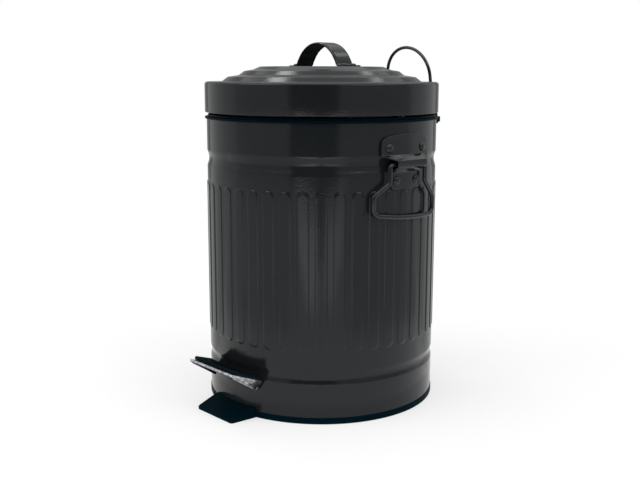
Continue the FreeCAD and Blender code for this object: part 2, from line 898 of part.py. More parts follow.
def make_lid():
    body = new_body("lid")
    wall = size.sheet_wall
    round_off = size.step_round
    hem = lid_radius - size.lid_hem_width
    hem_top = lid_bottom + size.lid_hem_height
    one_top = lid_brim + size.step_one_rise
    two_foot = lid_brim + size.step_two_foot_rise
    two_top = two_foot + size.step_two_rise
    three_foot = lid_brim + size.step_three_foot_rise
    one = lid_radius - size.step_one_inset
    two = lid_radius - size.step_two_inset
    three = lid_radius - size.step_three_inset
    steps = [
        (one, lid_brim),
        (one - size.step_one_run, one_top),
        (two, two_foot),
        (two - size.step_two_run, two_top),
        (three, three_foot),
        (three - size.step_three_run, lid_top),
    ]
    profile = new_sketch(body, "XZ_Plane", "lid_profile")
    outside = [(radius, level, round_off) for radius, level in steps]
    inside = [(radius, level - wall, round_off) for radius, level in reversed(steps)]
    draw(profile, [
        (hem, lid_bottom),
        (lid_radius, lid_bottom),
        (lid_radius, lid_brim, size.lid_corner),
        *outside,
        (0, lid_top),
        (0, lid_top - wall),
        *inside,
        (lid_radius - wall, lid_brim - wall, size.lid_corner - wall),
        (lid_radius - wall, hem_top),
        (hem, hem_top),
    ])
    revolve(body, profile)
    # Notch at the back of the skirt for the crank and the push rod
    notch = new_sketch(body, "XZ_Plane", "skirt_notch", -lid_radius)
    half = size.skirt_notch_half
    notch_top = lid_bottom + size.skirt_notch_rise
    below = lid_bottom - wall
    draw(notch, [(-half, below), (half, below), (half, notch_top), (-half, notch_top)])
    pocket(body, notch, size.cut_depth)
    holes = new_sketch(body, "XY_Plane", "strap_holes")
    for across, along in strap_rivet_spots():
        draw_circle(holes, across, along, rivet_hole)
    pocket(body, holes)
    for number, heading in enumerate(arm_rivet_headings(), start=1):
        radial_hole(body, f"arm_hole_{number}", heading, lid_radius, arm_rivet_level, rivet_hole)
    return keep(body)


strap_centre = lid_top + size.strap_rise - size.strap_radius
strap_base = lid_top + size.seat_gap
strap_foot_top = strap_base + size.strap_wall


def strap_reach(radius, level):
    """Half the strap's span at a level."""
    drop = level - strap_centre
    return root(radius * radius - drop * drop)


strap_heel = strap_reach(size.strap_radius, strap_foot_top)
strap_toe = strap_heel + size.strap_foot


def strap_rivet_spots():
    across = strap_heel + size.strap_foot / 2
    along = size.strap_rivet_spread / 2
    return [(side * across, sign * along) for side in (1, -1) for sign in (1, -1)]


def make_lid_handle():
    body = new_body("lid_handle")
    inner = size.strap_radius - size.strap_wall
    inner_heel = strap_reach(inner, strap_base)
    profile = new_sketch(body, "XZ_Plane", "strap_profile")
    draw(profile, [
        (strap_toe, strap_base),
        (strap_toe, strap_foot_top),
        (strap_heel, strap_foot_top),
        ("arc", size.strap_radius, 1),
        (-strap_heel, strap_foot_top),
        (-strap_toe, strap_foot_top),
        (-strap_toe, strap_base),
        (-inner_heel, strap_base),
        ("arc", inner, -1),
        (inner_heel, strap_base),
    ])
    pad(body, profile, size.strap_width)
    holes = new_sketch(body, "XY_Plane", "foot_holes", strap_base)
    for across, along in strap_rivet_spots():
        draw_circle(holes, across, along, rivet_hole)
    pocket(body, holes, size.cut_depth)
    return keep(body)


def make_lid_handle_rivets():
    rivets = []
    grip = size.strap_wall + size.seat_gap + size.sheet_wall
    for number, (across, along) in enumerate(strap_rivet_spots(), start=1):
        spot = FreeCAD.Vector(across.value, along.value, strap_foot_top.value)
        place = FreeCAD.Placement(spot, FreeCAD.Rotation())
        rivets.append(make_rivet(f"strap_rivet_{number}", grip, place))
    return group("lid_handle_rivets", rivets)


arm_inner = lid_radius + size.seat_gap
arm_outer = arm_inner + size.arm_wall
arm_rivet_level = hinge_level - size.arm_rivet_drop


def arm_rivet_headings():
    turn = turn_for(size.arm_rivet_half, lid_radius)
    return [90 - turn, 90 + turn]


def make_lid_hinge_arm():
    body = new_body("lid_hinge_arm")
    half = size.barrel_half
    bottom = hinge_level - size.arm_drop
    top = hinge_level + size.arm_top_rise
    # Leaf on the back of the skirt, with the barrel and the web that joins them
    leaf = new_sketch(body, "YZ_Plane", "leaf")
    front = arm_inner * size.undercut
    draw(leaf, [
        (front, bottom),
        (arm_outer, bottom),
        (arm_outer, hinge_level - size.barrel_radius),
        (hinge_y, hinge_level - size.arm_top_rise),
        (hinge_y, top),
        (front, top),
    ])
    pad(body, leaf, half * 2)
    barrel = new_sketch(body, "YZ_Plane", "barrel")
    draw_circle(barrel, hinge_y, hinge_level, size.barrel_radius)
    pad(body, barrel, half * 2)
    tube_cut(body, "skirt_face", arm_inner)
    outside = new_sketch(body, "XY_Plane", "leaf_face", (bottom + hinge_level - size.barrel_radius) / 2)
    draw_circle(outside, 0, 0, arm_outer)
    draw_circle(outside, 0, 0, arm_outer * size.overcut)
    pocket(body, outside, hinge_level - size.barrel_radius - bottom)
    window = new_sketch(body, "XZ_Plane", "leaf_notch", -arm_outer)
    gap = size.skirt_notch_half
    head = hinge_level - size.barrel_radius
    below = bottom - size.arm_wall
    draw(window, [(-gap, below), (gap, below), (gap, head), (-gap, head)])
    pocket(body, window, size.cut_depth)
    # Crank through the skirt's notch, with the slot for the rod's hook
    along = (-cosine(half_swing), -sine(half_swing))
    up = (-sine(half_swing), cosine(half_swing))
    end = size.rod_reach / cosine(half_swing)
    slot_half = size.rod_radius + size.crank_slot_play

    def crank_point(reach, rise):
        return (hinge_y + along[0] * reach + up[0] * rise, hinge_level + along[1] * reach + up[1] * rise)

    tall = size.crank_half_height + size.crank_slot_play
    tip = end + tall
    crank = new_sketch(body, "YZ_Plane", "crank")
    draw(crank, [
        crank_point(as_size(0), -tall),
        crank_point(as_size(0), tall),
        (*crank_point(tip, tall), tall * size.full_round),
        (*crank_point(tip, -tall), tall * size.full_round),
    ])
    pad(body, crank, size.crank_wall)
    slot = new_sketch(body, "YZ_Plane", "hook_slot")
    slot_near = size.rod_reach - slot_half
    slot_far = end + slot_half
    soft = slot_half * size.full_round
    draw(slot, [
        (*crank_point(slot_near, -slot_half), soft),
        (*crank_point(slot_near, slot_half), soft),
        (*crank_point(slot_far, slot_half), soft),
        (*crank_point(slot_far, -slot_half), soft),
    ])
    pocket(body, slot, size.cut_depth)
    bore = new_sketch(body, "YZ_Plane", "barrel_bore")
    draw_circle(bore, hinge_y, hinge_level, size.hinge_pin_radius + size.pin_play)
    pocket(body, bore)
    for number, heading in enumerate(arm_rivet_headings(), start=1):
        radial_hole(body, f"leaf_hole_{number}", heading, arm_outer, arm_rivet_level, rivet_hole)
    return keep(body)


def make_lid_hinge_rivets():
    rivets = []
    grip = size.arm_wall + size.seat_gap + size.sheet_wall
    for number, heading in enumerate(arm_rivet_headings(), start=1):
        place = radial_place(heading, arm_outer, arm_rivet_level)
        rivets.append(make_rivet(f"arm_rivet_{number}", grip, place))
    return group("lid_hinge_rivets", rivets)


ear_inner = size.barrel_half + size.ear_gap
ear_outer = ear_inner + size.ear_width
bracket_top = shell_top - size.bracket_top_drop
bracket_bottom = bracket_top - size.bracket_height
loop_foot_level = bracket_top - size.bracket_shelf_wall - size.loop_wire_radius
loop_foot_y = size.body_radius + size.loop_offset


def leaning_sketch(body, name, rise):
    """A sketch square to the loop's legs, a distance up along them from the loop's foot."""
    sketch = new_sketch(body, "XY_Plane", name)
    turn = FreeCAD.Rotation(FreeCAD.Vector(1, 0, 0), size.loop_lean.value)
    foot = FreeCAD.Vector(0, loop_foot_y.value, loop_foot_level.value)
    climb = turn.multVec(FreeCAD.Vector(0, 0, rise.value))
    sketch.AttachmentOffset = FreeCAD.Placement(foot + climb, turn)
    return sketch


def make_hinge_bracket():
    body = new_body("hinge_bracket")
    half = size.bracket_half
    back = size.body_radius + size.bracket_depth
    shelf_bottom = bracket_top - size.bracket_shelf_wall
    front = size.body_radius * size.undercut
    # Curved back plate, shelf, gussets and hinge ears
    plate = new_sketch(body, "XY_Plane", "back_plate", bracket_bottom)
    draw_circle(plate, 0, 0, bracket_outer)
    pad(body, plate, size.bracket_height, symmetric=False)
    side_cut = new_sketch(body, "XY_Plane", "plate_sides")
    wide = bracket_outer * size.overcut
    inside = front * size.undercut
    draw(side_cut, [
        (-wide, -wide),
        (wide, -wide),
        (wide, wide),
        (half, wide),
        (half, inside),
        (-half, inside),
        (-half, wide),
        (-wide, wide),
    ])
    pocket(body, side_cut)
    shelf = new_sketch(body, "XY_Plane", "shelf", shelf_bottom)
    corner = size.post_radius
    draw(shelf, [(-half, front), (half, front), (half, back, corner), (-half, back, corner)])
    pad(body, shelf, size.bracket_shelf_wall, symmetric=False)
    ear_middle = (ear_inner + ear_outer) / 2
    for name, sign in (("right", 1), ("left", -1)):
        gusset = new_sketch(body, "YZ_Plane", f"{name}_gusset", size.gusset_half * sign)
        draw(gusset, [
            (front, bracket_bottom),
            (bracket_outer, bracket_bottom),
            (back, shelf_bottom),
            (back, bracket_top),
            (front, bracket_top),
        ])
        pad(body, gusset, size.gusset_wall)
        ear = new_sketch(body, "YZ_Plane", f"{name}_ear", ear_middle * sign)
        radius = size.ear_radius
        draw(ear, [
            (hinge_y - size.ear_front, shelf_bottom),
            (hinge_y + size.ear_foot, shelf_bottom),
            (hinge_y + radius, hinge_level + radius, radius * size.full_round),
            (hinge_y - size.ear_front, hinge_level + radius, size.ear_front * size.full_round),
        ])
        pad(body, ear, size.ear_width)
    posts = leaning_sketch(body, "posts", as_size(0))
    for sign in (1, -1):
        draw_circle(posts, size.loop_half * sign, 0, size.post_radius)
    pad(body, posts, size.bracket_shelf_wall + size.loop_wire_radius + size.post_rise, symmetric=False)
    tube_cut(body, "shell_face", bracket_inner)
    # Bores for the pin and the loop's legs, and rivet holes
    pin_bore = new_sketch(body, "YZ_Plane", "pin_bore")
    draw_circle(pin_bore, hinge_y, hinge_level, size.hinge_pin_radius + size.pin_play)
    pocket(body, pin_bore)
    legs = leaning_sketch(body, "leg_bores", size.loop_wire_radius + size.loop_height / 2)
    for sign in (1, -1):
        draw_circle(legs, size.loop_half * sign, 0, size.loop_wire_radius + size.pin_play)
    pocket(body, legs, size.loop_height)
    for number, heading in enumerate(bracket_rivet_headings(), start=1):
        name = f"plate_hole_{number}"
        radial_hole(body, name, heading, bracket_outer, bracket_rivet_level, rivet_hole)
    return keep(body)


def make_hinge_bracket_rivets():
    rivets = []
    grip = size.bracket_wall + size.seat_gap + size.sheet_wall
    for number, heading in enumerate(bracket_rivet_headings(), start=1):
        place = radial_place(heading, bracket_outer, bracket_rivet_level)
        rivets.append(make_rivet(f"bracket_rivet_{number}", grip, place))
    return group("hinge_bracket_rivets", rivets)


def make_carry_loop():
    body = new_body("carry_loop")
    half = size.loop_half
    foot = size.loop_wire_radius + size.seat_gap
    bend = half - size.loop_flat / 2
    path = new_sketch(body, "XZ_Plane", "loop_path")
    draw(path, [
        (-half, foot),
        (-half, size.loop_height, bend),
        (half, size.loop_height, bend),
        (half, foot),
    ], closed=False)
    section = new_sketch(body, "XY_Plane", "loop_section", foot)
    draw_circle(section, -half, 0, size.loop_wire_radius)
    pipe(body, path, section)
    turn = FreeCAD.Rotation(FreeCAD.Vector(1, 0, 0), size.loop_lean.value)
    body.Placement = FreeCAD.Placement(FreeCAD.Vector(0, loop_foot_y.value, loop_foot_level.value), turn)
    return keep(body)


def make_push_rod():
    body = new_body("push_rod")
    tail = size.rod_tail
    path = new_sketch(body, "XZ_Plane", "rod_path", -rod_y)
    draw(path, [
        (-tail, rod_eye_level),
        (size.rod_side, rod_eye_level, size.rod_bend),
        (size.rod_side, hook_level, size.rod_bend),
        (-tail, hook_level),
    ], closed=False)
    section = new_sketch(body, "YZ_Plane", "rod_section", -tail)
    draw_circle(section, rod_y, rod_eye_level, size.rod_radius)
    pipe(body, path, section)
    return keep(body)


def make_rod_guide():
    body = new_body("rod_guide")
    half = size.guide_half
    front = rod_y - size.rod_radius * 2
    plan = new_sketch(body, "XY_Plane", "guide_plan", size.guide_level)
    draw(plan, [
        (size.rod_side - half, front, size.rod_radius),
        (size.rod_side + half, front, size.rod_radius),
        (size.rod_side + half, shell_inner),
        (size.rod_side - half, shell_inner),
    ])
    pad(body, plan, size.guide_height)
    wall_face = new_sketch(body, "XY_Plane", "guide_wall_face", size.guide_level)
    draw_circle(wall_face, 0, 0, shell_inner - size.seat_gap * 2)
    draw_circle(wall_face, 0, 0, shell_inner * size.overcut)
    pocket(body, wall_face, size.guide_height * 2)
    bore = new_sketch(body, "XY_Plane", "guide_bore", size.guide_level)
    draw_circle(bore, size.rod_side, rod_y, size.rod_radius + size.pin_play * 2)
    pocket(body, bore, size.guide_height * 2)
    return keep(body)


def make_pedal_lever():
    body = new_body("pedal_lever")
    wall = size.tread_wall
    inside = size.body_radius - size.strip_overlap
    # Tread with its front lip
    tread = new_sketch(body, "YZ_Plane", "tread")
    draw(tread, [
        (-tread_front, size.tread_level),
        (-tread_front, size.tread_level - size.tread_lip),
        (wall - tread_front, size.tread_level - size.tread_lip),
        (wall - tread_front, tread_height(tread_front - wall) - tread_depth),
        (-inside, tread_height(inside) - tread_depth),
        (-inside, tread_height(inside)),
    ])
    pad(body, tread, size.tread_half * 2)
    # Triangular flanges at both sides
    heel = size.body_radius - size.flange_back
    crown = inside - size.tread_wall_gap
    for name, sign in (("right", 1), ("left", -1)):
        flange = new_sketch(body, "YZ_Plane", f"{name}_flange", (size.tread_half - wall / 2) * sign)
        draw(flange, [
            (-tread_front, size.tread_level - tread_depth),
            (-tread_front, size.tread_level - size.tread_lip),
            (-heel, size.flange_low, size.flange_corner),
            (-crown, tread_height(crown) - tread_depth),
            (-crown, tread_height(crown)),
            (wall - tread_front, tread_height(tread_front - wall)),
        ])
        pad(body, flange, wall)
    tube_cut(body, "shell_clearance", size.body_radius + size.tread_wall_gap)
    # Lever strip through the wall to the push rod
    outer_end = size.body_radius + size.strip_overlap
    bend = size.strip_bend_inset - size.body_radius
    rear = rod_y - size.rod_radius - size.tread_wall * 2
    top = size.strip_level + wall / 2
    strip = new_sketch(body, "YZ_Plane", "strip")
    draw(strip, [
        (-outer_end, tread_height(outer_end)),
        (-outer_end, tread_height(outer_end) - tread_depth),
        (-inside, tread_height(inside) - tread_depth),
        (bend, top - wall),
        (rear, top - wall),
        (rear, top),
        (bend, top),
        (-inside, tread_height(inside)),
    ])
    pad(body, strip, size.strip_half * 2)
    # Lugs on the pivot pin
    lug_top = pivot_level + size.pivot_lug_half
    for name, sign in (("right", 1), ("left", -1)):
        lug = new_sketch(body, "YZ_Plane", f"{name}_pivot_lug", (size.strip_half - wall / 2) * sign)
        draw(lug, [
            (pivot_y - size.pivot_lug_half, top - wall),
            (pivot_y + size.pivot_lug_half, top - wall),
            (pivot_y + size.pivot_lug_half, lug_top, size.pivot_lug_half * size.full_round),
            (pivot_y - size.pivot_lug_half, lug_top, size.pivot_lug_half * size.full_round),
        ])
        pad(body, lug, wall)
    # Upright eye for the rod's lower hook
    eye_radius = size.rod_radius + size.rod_eye_play
    eye_reach = eye_radius + size.rod_eye_wall
    eye = new_sketch(body, "YZ_Plane", "rod_eye")
    draw(eye, [
        (rear - eye_reach, top),
        (rear - eye_reach, rod_eye_level - eye_reach, eye_reach * size.full_round),
        (rod_y + eye_reach, rod_eye_level - eye_reach, eye_reach * size.full_round),
        (rod_y + eye_reach, top + size.rod_eye_wall, eye_reach * size.full_round),
    ])
    pad(body, eye, wall)
    bores = new_sketch(body, "YZ_Plane", "lever_bores")
    draw_circle(bores, pivot_y, pivot_level, size.pivot_pin_radius + size.pin_play)
    draw_circle(bores, rod_y, rod_eye_level, eye_radius)
    pocket(body, bores)
    return keep(body)


def make_pedal_pad():
    body = new_body("pedal_pad")
    front = tread_front - size.pad_inset
    back = size.body_radius - size.strip_overlap
    lift = size.pad_wall / cosine(size.tread_angle)
    slab = new_sketch(body, "YZ_Plane", "pad_slab")
    draw(slab, [
        (-front, tread_height(front)),
        (-back, tread_height(back)),
        (-back, tread_height(back) + lift),
        (-front, tread_height(front) + lift),
    ])
    pad(body, slab, size.pad_half * 2)
    # Ribs across the tread's width, each running from front to back
    rib_lift = lift + size.pad_rib_rise / cosine(size.tread_angle)
    spread = size.pad_rib_pitch * (size.pad_rib_count - 1)
    rib_front = front - size.pad_rib_width / 2
    first = new_sketch(body, "YZ_Plane", "pad_rib", -spread / 2)
    draw(first, [
        (-rib_front, tread_height(rib_front)),
        (-back, tread_height(back)),
        (-back, tread_height(back) + rib_lift),
        (-rib_front, tread_height(rib_front) + rib_lift),
    ])
    rib = pad(body, first, size.pad_rib_width)
    ribs = body.newObject("PartDesign::LinearPattern", "pad_ribs")
    ribs.Originals = [rib]
    ribs.Direction = (first, ["N_Axis"])
    ribs.Length = spread.value
    ribs.setExpression("Length", spread.text)
    ribs.Occurrences = int(size.pad_rib_count.value)
    ribs.setExpression("Occurrences", size.pad_rib_count.text)
    body.Tip = ribs
    tube_cut(body, "pad_shell_clearance", size.body_radius + size.pad_wall_gap)
    return keep(body)


def make_pedal_bracket():
    body = new_body("pedal_bracket")
    inner = size.strip_half + size.slot_side_play
    outer = inner + size.cradle_wall
    base = floor_top + size.seat_gap
    base_top = base + size.cradle_wall
    plan = new_sketch(body, "XY_Plane", "cradle_base", base)
    front = pivot_y - size.cradle_foot_half
    back = pivot_y + size.cradle_foot_half
    draw(plan, [(-outer, front), (outer, front), (outer, back), (-outer, back)])
    for spot in cradle_rivet_spots():
        draw_circle(plan, 0, spot, rivet_hole)
    pad(body, plan, size.cradle_wall, symmetric=False)
    cheek_top = pivot_level + size.pivot_lug_half
    for name, sign in (("right", 1), ("left", -1)):
        cheek = new_sketch(body, "YZ_Plane", f"{name}_cheek", (inner + outer) / 2 * sign)
        draw(cheek, [
            (pivot_y - size.cradle_half, base),
            (pivot_y + size.cradle_half, base),
            (pivot_y + size.cradle_half, base_top),
            (pivot_y + size.pivot_lug_half, cheek_top, size.pivot_lug_half * size.full_round),
            (pivot_y - size.pivot_lug_half, cheek_top, size.pivot_lug_half * size.full_round),
            (pivot_y - size.cradle_half, base_top),
        ])
        pad(body, cheek, size.cradle_wall)
    bore = new_sketch(body, "YZ_Plane", "cradle_bore")
    draw_circle(bore, pivot_y, pivot_level, size.pivot_pin_radius + size.pin_play)
    pocket(body, bore)
    return keep(body)


def make_pedal_bracket_rivets():
    rivets = []
    base_top = floor_top + size.seat_gap + size.cradle_wall
    grip = size.cradle_wall + size.seat_gap + size.floor_plate_wall
    for number, spot in enumerate(cradle_rivet_spots(), start=1):
        place = FreeCAD.Placement(FreeCAD.Vector(0, spot.value, base_top.value), FreeCAD.Rotation())
        rivets.append(make_rivet(f"cradle_rivet_{number}", grip, place))
    return group("pedal_bracket_rivets", rivets)


def make_side_bracket(side, middle):
    body = new_body(f"side_bracket_{side}")
    half = size.plate_half_width
    plate_top = upper_bead + size.plate_top_rise
    shelf = upper_bead + size.plate_shelf_rise
    lip = upper_bead - size.tab_lip_drop
    tab_bottom = upper_bead - size.tab_drop
    channel_x = size.body_radius + size.channel_reach
    channel_top = upper_bead + size.channel_top_rise
    channel_bottom = upper_bead - size.channel_drop
    wall = size.plate_wall
    inside = size.body_radius * size.undercut
    # Plate that follows the shell, then the folded channel across its middle
    plate = new_sketch(body, "XY_Plane", f"{side}_plate", tab_bottom)
    draw_circle(plate, 0, 0, plate_outer)
    pad(body, plate, plate_top - tab_bottom, symmetric=False)
    window = new_sketch(body, "YZ_Plane", f"{side}_window", plate_outer)
    draw(window, [(-plate_outer, lip), (plate_outer, lip), (plate_outer, shelf), (-plate_outer, shelf)])
    pocket(body, window, plate_outer * 2)
    channel = new_sketch(body, "XZ_Plane", f"{side}_channel")
    draw(channel, [
        (inside, shelf + wall),
        (inside, shelf),
        (plate_inner, shelf),
        (channel_x - wall, channel_top - wall),
        (channel_x - wall, channel_bottom + wall),
        (plate_inner, lip),
        (inside, lip),
        (inside, lip - wall),
        (plate_outer, lip - wall),
        (channel_x, channel_bottom),
        (channel_x, channel_top),
        (plate_outer, shelf + wall),
    ])
    pad(body, channel, half * 2)
    # Plan of the shelf and outline of the plate, seen from the side
    sides = new_sketch(body, "XY_Plane", f"{side}_shelf_plan")
    wide = plate_outer * size.overcut
    past = channel_x * size.overcut
    shelf_half = size.channel_half_width
    draw(sides, [
        (plate_inner, half),
        (channel_x, shelf_half),
        (past, shelf_half),
        (past, wide),
        (plate_inner, wide),
    ])
    draw(sides, [
        (plate_inner, -half),
        (plate_inner, -wide),
        (past, -wide),
        (past, -shelf_half),
        (channel_x, -shelf_half),
    ])
    pocket(body, sides)
    outline = new_sketch(body, "YZ_Plane", f"{side}_outline")
    below = tab_bottom - wall
    above = plate_top + wall
    draw(outline, [(-wide, below), (wide, below), (wide, above), (-wide, above)])
    corner = size.plate_corner
    tab = size.tab_half_width
    crown = half - corner - wall
    bow = (crown * crown + size.plate_bow * size.plate_bow) / (size.plate_bow * 2)
    plate_side = plate_top - size.plate_bow
    draw(outline, [
        (half, plate_side, corner),
        (half, channel_bottom + wall),
        (tab, channel_bottom + wall),
        (tab, tab_bottom, corner),
        (-tab, tab_bottom, corner),
        (-tab, channel_bottom + wall),
        (-half, channel_bottom + wall),
        (-half, plate_side, corner),
        (-crown, plate_side),
        ("arc", bow, -1),
        (crown, plate_side),
    ])
    pocket(body, outline)
    tube_cut(body, f"{side}_shell_face", plate_inner)
    behind = new_sketch(body, "YZ_Plane", f"{side}_behind", -plate_outer / 2)
    draw(behind, [(-wide, below), (wide, below), (wide, above), (-wide, above)])
    pocket(body, behind, plate_outer * 2)
    for number, (turn, level) in enumerate(side_rivet_spots(), start=1):
        radial_hole(body, f"{side}_plate_hole_{number}", turn, plate_outer, level, rivet_hole)
    body.Placement.Rotation = FreeCAD.Rotation(FreeCAD.Vector(0, 0, 1), middle)
    return keep(body)


def make_side_rivets(side, middle):
    rivets = []
    grip = size.plate_wall + size.seat_gap + size.sheet_wall
    for number, (turn, level) in enumerate(side_rivet_spots(), start=1):
        place = radial_place(middle + turn, plate_outer, level)
        rivets.append(make_rivet(f"{side}_rivet_{number}", grip, place))
    return group(f"side_rivets_{side}", rivets)


def make_side_bail(side, middle):
    body = new_body(f"side_bail_{side}")
    neck = size.bail_neck_half
    flare = size.bail_flare_half
    knee = bail_level - size.bail_knee_drop
    spread = bail_level - size.bail_flare_drop
    foot = bail_level - size.bail_foot_drop
    # The wire has slid along its channel, as it hangs in the photo
    slide = size.bail_slide
    path = new_sketch(body, "YZ_Plane", f"{side}_bail_path", bail_x)
    draw(path, [
        (0, bail_level),
        (neck - slide, bail_level, size.bail_shoulder),
        (neck - slide, knee, size.bail_bend),
        (flare - slide, spread, size.bail_bend),
        (flare - slide, foot, size.bail_foot_bend),
        (-flare - slide, foot, size.bail_foot_bend),
        (-flare - slide, spread, size.bail_bend),
        (-neck - slide, knee, size.bail_bend),
        (-neck - slide, bail_level, size.bail_shoulder),
    ])
    section = new_sketch(body, "XZ_Plane", f"{side}_bail_section")
    draw_circle(section, bail_x, bail_level, size.bail_wire_radius)
    pipe(body, path, section)
    body.Placement.Rotation = FreeCAD.Rotation(FreeCAD.Vector(0, 0, 1), middle)
    return keep(body)


make_body_shell()
make_base_ring()
make_base_plate()
make_rim_ring()
make_lid_buffers()
make_inner_bucket()
make_bucket_bail()
make_lid()
make_lid_handle()
make_lid_handle_rivets()
make_lid_hinge_arm()
make_lid_hinge_rivets()
make_hinge_bracket()
make_hinge_bracket_rivets()
hinge_pin_half = ear_outer + size.hinge_pin_overhang + size.pin_head_height
make_pin("hinge_pin", hinge_pin_half, size.hinge_pin_radius, hinge_y, hinge_level)
make_carry_loop()
make_push_rod()
make_rod_guide()
make_pedal_lever()
make_pedal_pad()
make_pedal_bracket()
make_pedal_bracket_rivets()
cradle_outer = size.strip_half + size.slot_side_play + size.cradle_wall
pivot_pin_half = cradle_outer + size.pin_play + size.pin_head_height
make_pin("pedal_pivot_pin", pivot_pin_half, size.pivot_pin_radius, pivot_y, pivot_level)
for side_name, side_heading in (("right", 0), ("left", 180)):
    make_side_bracket(side_name, side_heading)
    make_side_rivets(side_name, side_heading)
    make_side_bail(side_name, side_heading)

doc.recompute()
for item in doc.Objects:
    if "Invalid" in item.State or "Error" in item.State:
        raise RuntimeError(f"{item.Name} did not compute: {item.State}")
for node in nodes:
    if node.Shape.isNull() or not node.Shape.isValid():
        raise RuntimeError(f"{node.Label} has no valid shape")

os.makedirs("parts", exist_ok=True)
for node in nodes:
    node.Shape.exportStep(f"parts/{node.Label}.step")
    print(f"{node.Label}: {len(node.Shape.Solids)} solid(s), {node.Shape.Volume:.0f} mm3")
print(f"rod lift {half_lift.value * 2:.2f} mm, rear arm {rear_arm.value:.2f} mm")
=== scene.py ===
import json
from math import asin, cos, pi, radians, sin, sqrt, tan
import bpy
import bmesh
from mathutils import Matrix, Vector


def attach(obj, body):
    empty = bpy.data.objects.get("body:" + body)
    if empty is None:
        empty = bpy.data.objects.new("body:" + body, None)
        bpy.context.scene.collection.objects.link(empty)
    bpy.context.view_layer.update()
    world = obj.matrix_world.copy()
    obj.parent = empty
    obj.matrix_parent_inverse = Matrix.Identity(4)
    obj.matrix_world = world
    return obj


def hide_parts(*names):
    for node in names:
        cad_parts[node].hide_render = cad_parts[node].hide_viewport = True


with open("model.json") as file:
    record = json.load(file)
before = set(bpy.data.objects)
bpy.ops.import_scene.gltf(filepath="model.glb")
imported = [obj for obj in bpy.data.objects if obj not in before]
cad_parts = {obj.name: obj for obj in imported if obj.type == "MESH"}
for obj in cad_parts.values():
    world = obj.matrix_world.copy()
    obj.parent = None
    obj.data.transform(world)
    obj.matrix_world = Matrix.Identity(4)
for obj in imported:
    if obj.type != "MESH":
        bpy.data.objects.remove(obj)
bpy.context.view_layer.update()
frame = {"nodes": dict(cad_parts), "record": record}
mm = 0.001
print("frame loaded:", len(frame["nodes"]), "nodes")


# A socket in a node tree. Sums on it add Math nodes, make() adds any other node.
class Net:
    def __init__(self, tree, socket=None):
        self.tree = tree
        self.socket = socket

    def make(self, kind, values=None, settings=None, out=0):
        node = self.tree.nodes.new(kind)
        for key, value in (settings or {}).items():
            setattr(node, key, value)
        for key, value in (values or {}).items():
            if isinstance(value, Net):
                self.tree.links.new(value.socket, node.inputs[key])
            else:
                node.inputs[key].default_value = value
        return Net(self.tree, node.outputs[out])

    def math(self, operation, first, second=None):
        values = {0: first} if second is None else {0: first, 1: second}
        return self.make("ShaderNodeMath", values, {"operation": operation})

    def __add__(self, other):
        return self.math("ADD", self, other)

    def __sub__(self, other):
        return self.math("SUBTRACT", self, other)

    def __mul__(self, other):
        return self.math("MULTIPLY", self, other)

    def __truediv__(self, other):
        return self.math("DIVIDE", self, other)

    def __rsub__(self, other):
        return self.math("SUBTRACT", other, self)

    def __rtruediv__(self, other):
        return self.math("DIVIDE", other, self)

    __radd__ = __add__
    __rmul__ = __mul__


def clearNodes(owner):
    owner.use_nodes = True
    owner.node_tree.nodes.clear()
    return Net(owner.node_tree)


def newMaterial(name):
    material = bpy.data.materials.new(name)
    return material, clearNodes(material)


def closeShader(net, shader, kind="Material"):
    end = net.tree.nodes.new("ShaderNodeOutput" + kind)
    net.tree.links.new(shader.socket, end.inputs["Surface"])


def objectCoords(net):
    return net.make("ShaderNodeTexCoord", out="Object")


def noise(net, coords, scale, detail=2.0, roughness=0.5):
    values = {"Vector": coords, "Scale": scale, "Detail": detail, "Roughness": roughness}
    return net.make("ShaderNodeTexNoise", values, out="Fac")


def stretched(net, coords, scale):
    return net.make("ShaderNodeMapping", {"Vector": coords, "Scale": scale})


def ramp(net, value, low, high):
    # 0 up to low and 1 from high on
    shade = net.make("ShaderNodeValToRGB", {"Fac": value})
    for element, place in zip(shade.socket.node.color_ramp.elements, (low, high)):
        element.position = place
    return shade


def blendColour(net, factor, first, second):
    ends = [tone if isinstance(tone, Net) else (*tone, 1) for tone in (first, second)]
    return net.make("ShaderNodeMix", {"Factor": factor, 6: ends[0], 7: ends[1]}, {"data_type": "RGBA"}, 2)


def smoothStep(net, value, start, end, first, last):
    values = {"Value": value, "From Min": start, "From Max": end, "To Min": first, "To Max": last}
    return net.make("ShaderNodeMapRange", values, {"interpolation_type": "SMOOTHSTEP"})


def bump(net, height, strength, distance, normal=None):
    values = {"Height": height, "Strength": strength, "Distance": distance}
    if normal is not None:
        values["Normal"] = normal
    return net.make("ShaderNodeBump", values)


def makeFinish(name, maker, look):
    # the maker gives colour, roughness and normal
    material, net = newMaterial(name)
    colour, rough, normal = maker(net, objectCoords(net), look)
    shader = net.make("ShaderNodeBsdfPrincipled", {
        "Base Color": colour, "Roughness": rough, "Normal": normal,
        "Specular IOR Level": look.get("specular", 0.5), "Metallic": look.get("metallic", 0.0)})
    closeShader(net, shader)
    return material


# Semi-gloss charcoal paint: faint orange peel, slow waves of the pressed sheet, fine rubs
paintLook = {
    "dark": (0.0080, 0.0094, 0.0103), "pale": (0.0108, 0.0125, 0.0144), "rub": (0.028, 0.030, 0.036),
    "specular": 0.25, "roughness": 0.07, "peelScale": 700.0, "waveScale": 16.0, "grainScale": 3200.0,
    "cloudScale": 38.0, "hairStretch": (260, 260, 26), "hairScale": 9.0, "wear": 0.5,
}
fittingLook = dict(paintLook, specular=0.36)  # handle plates, their rivets and the bails shine a little more


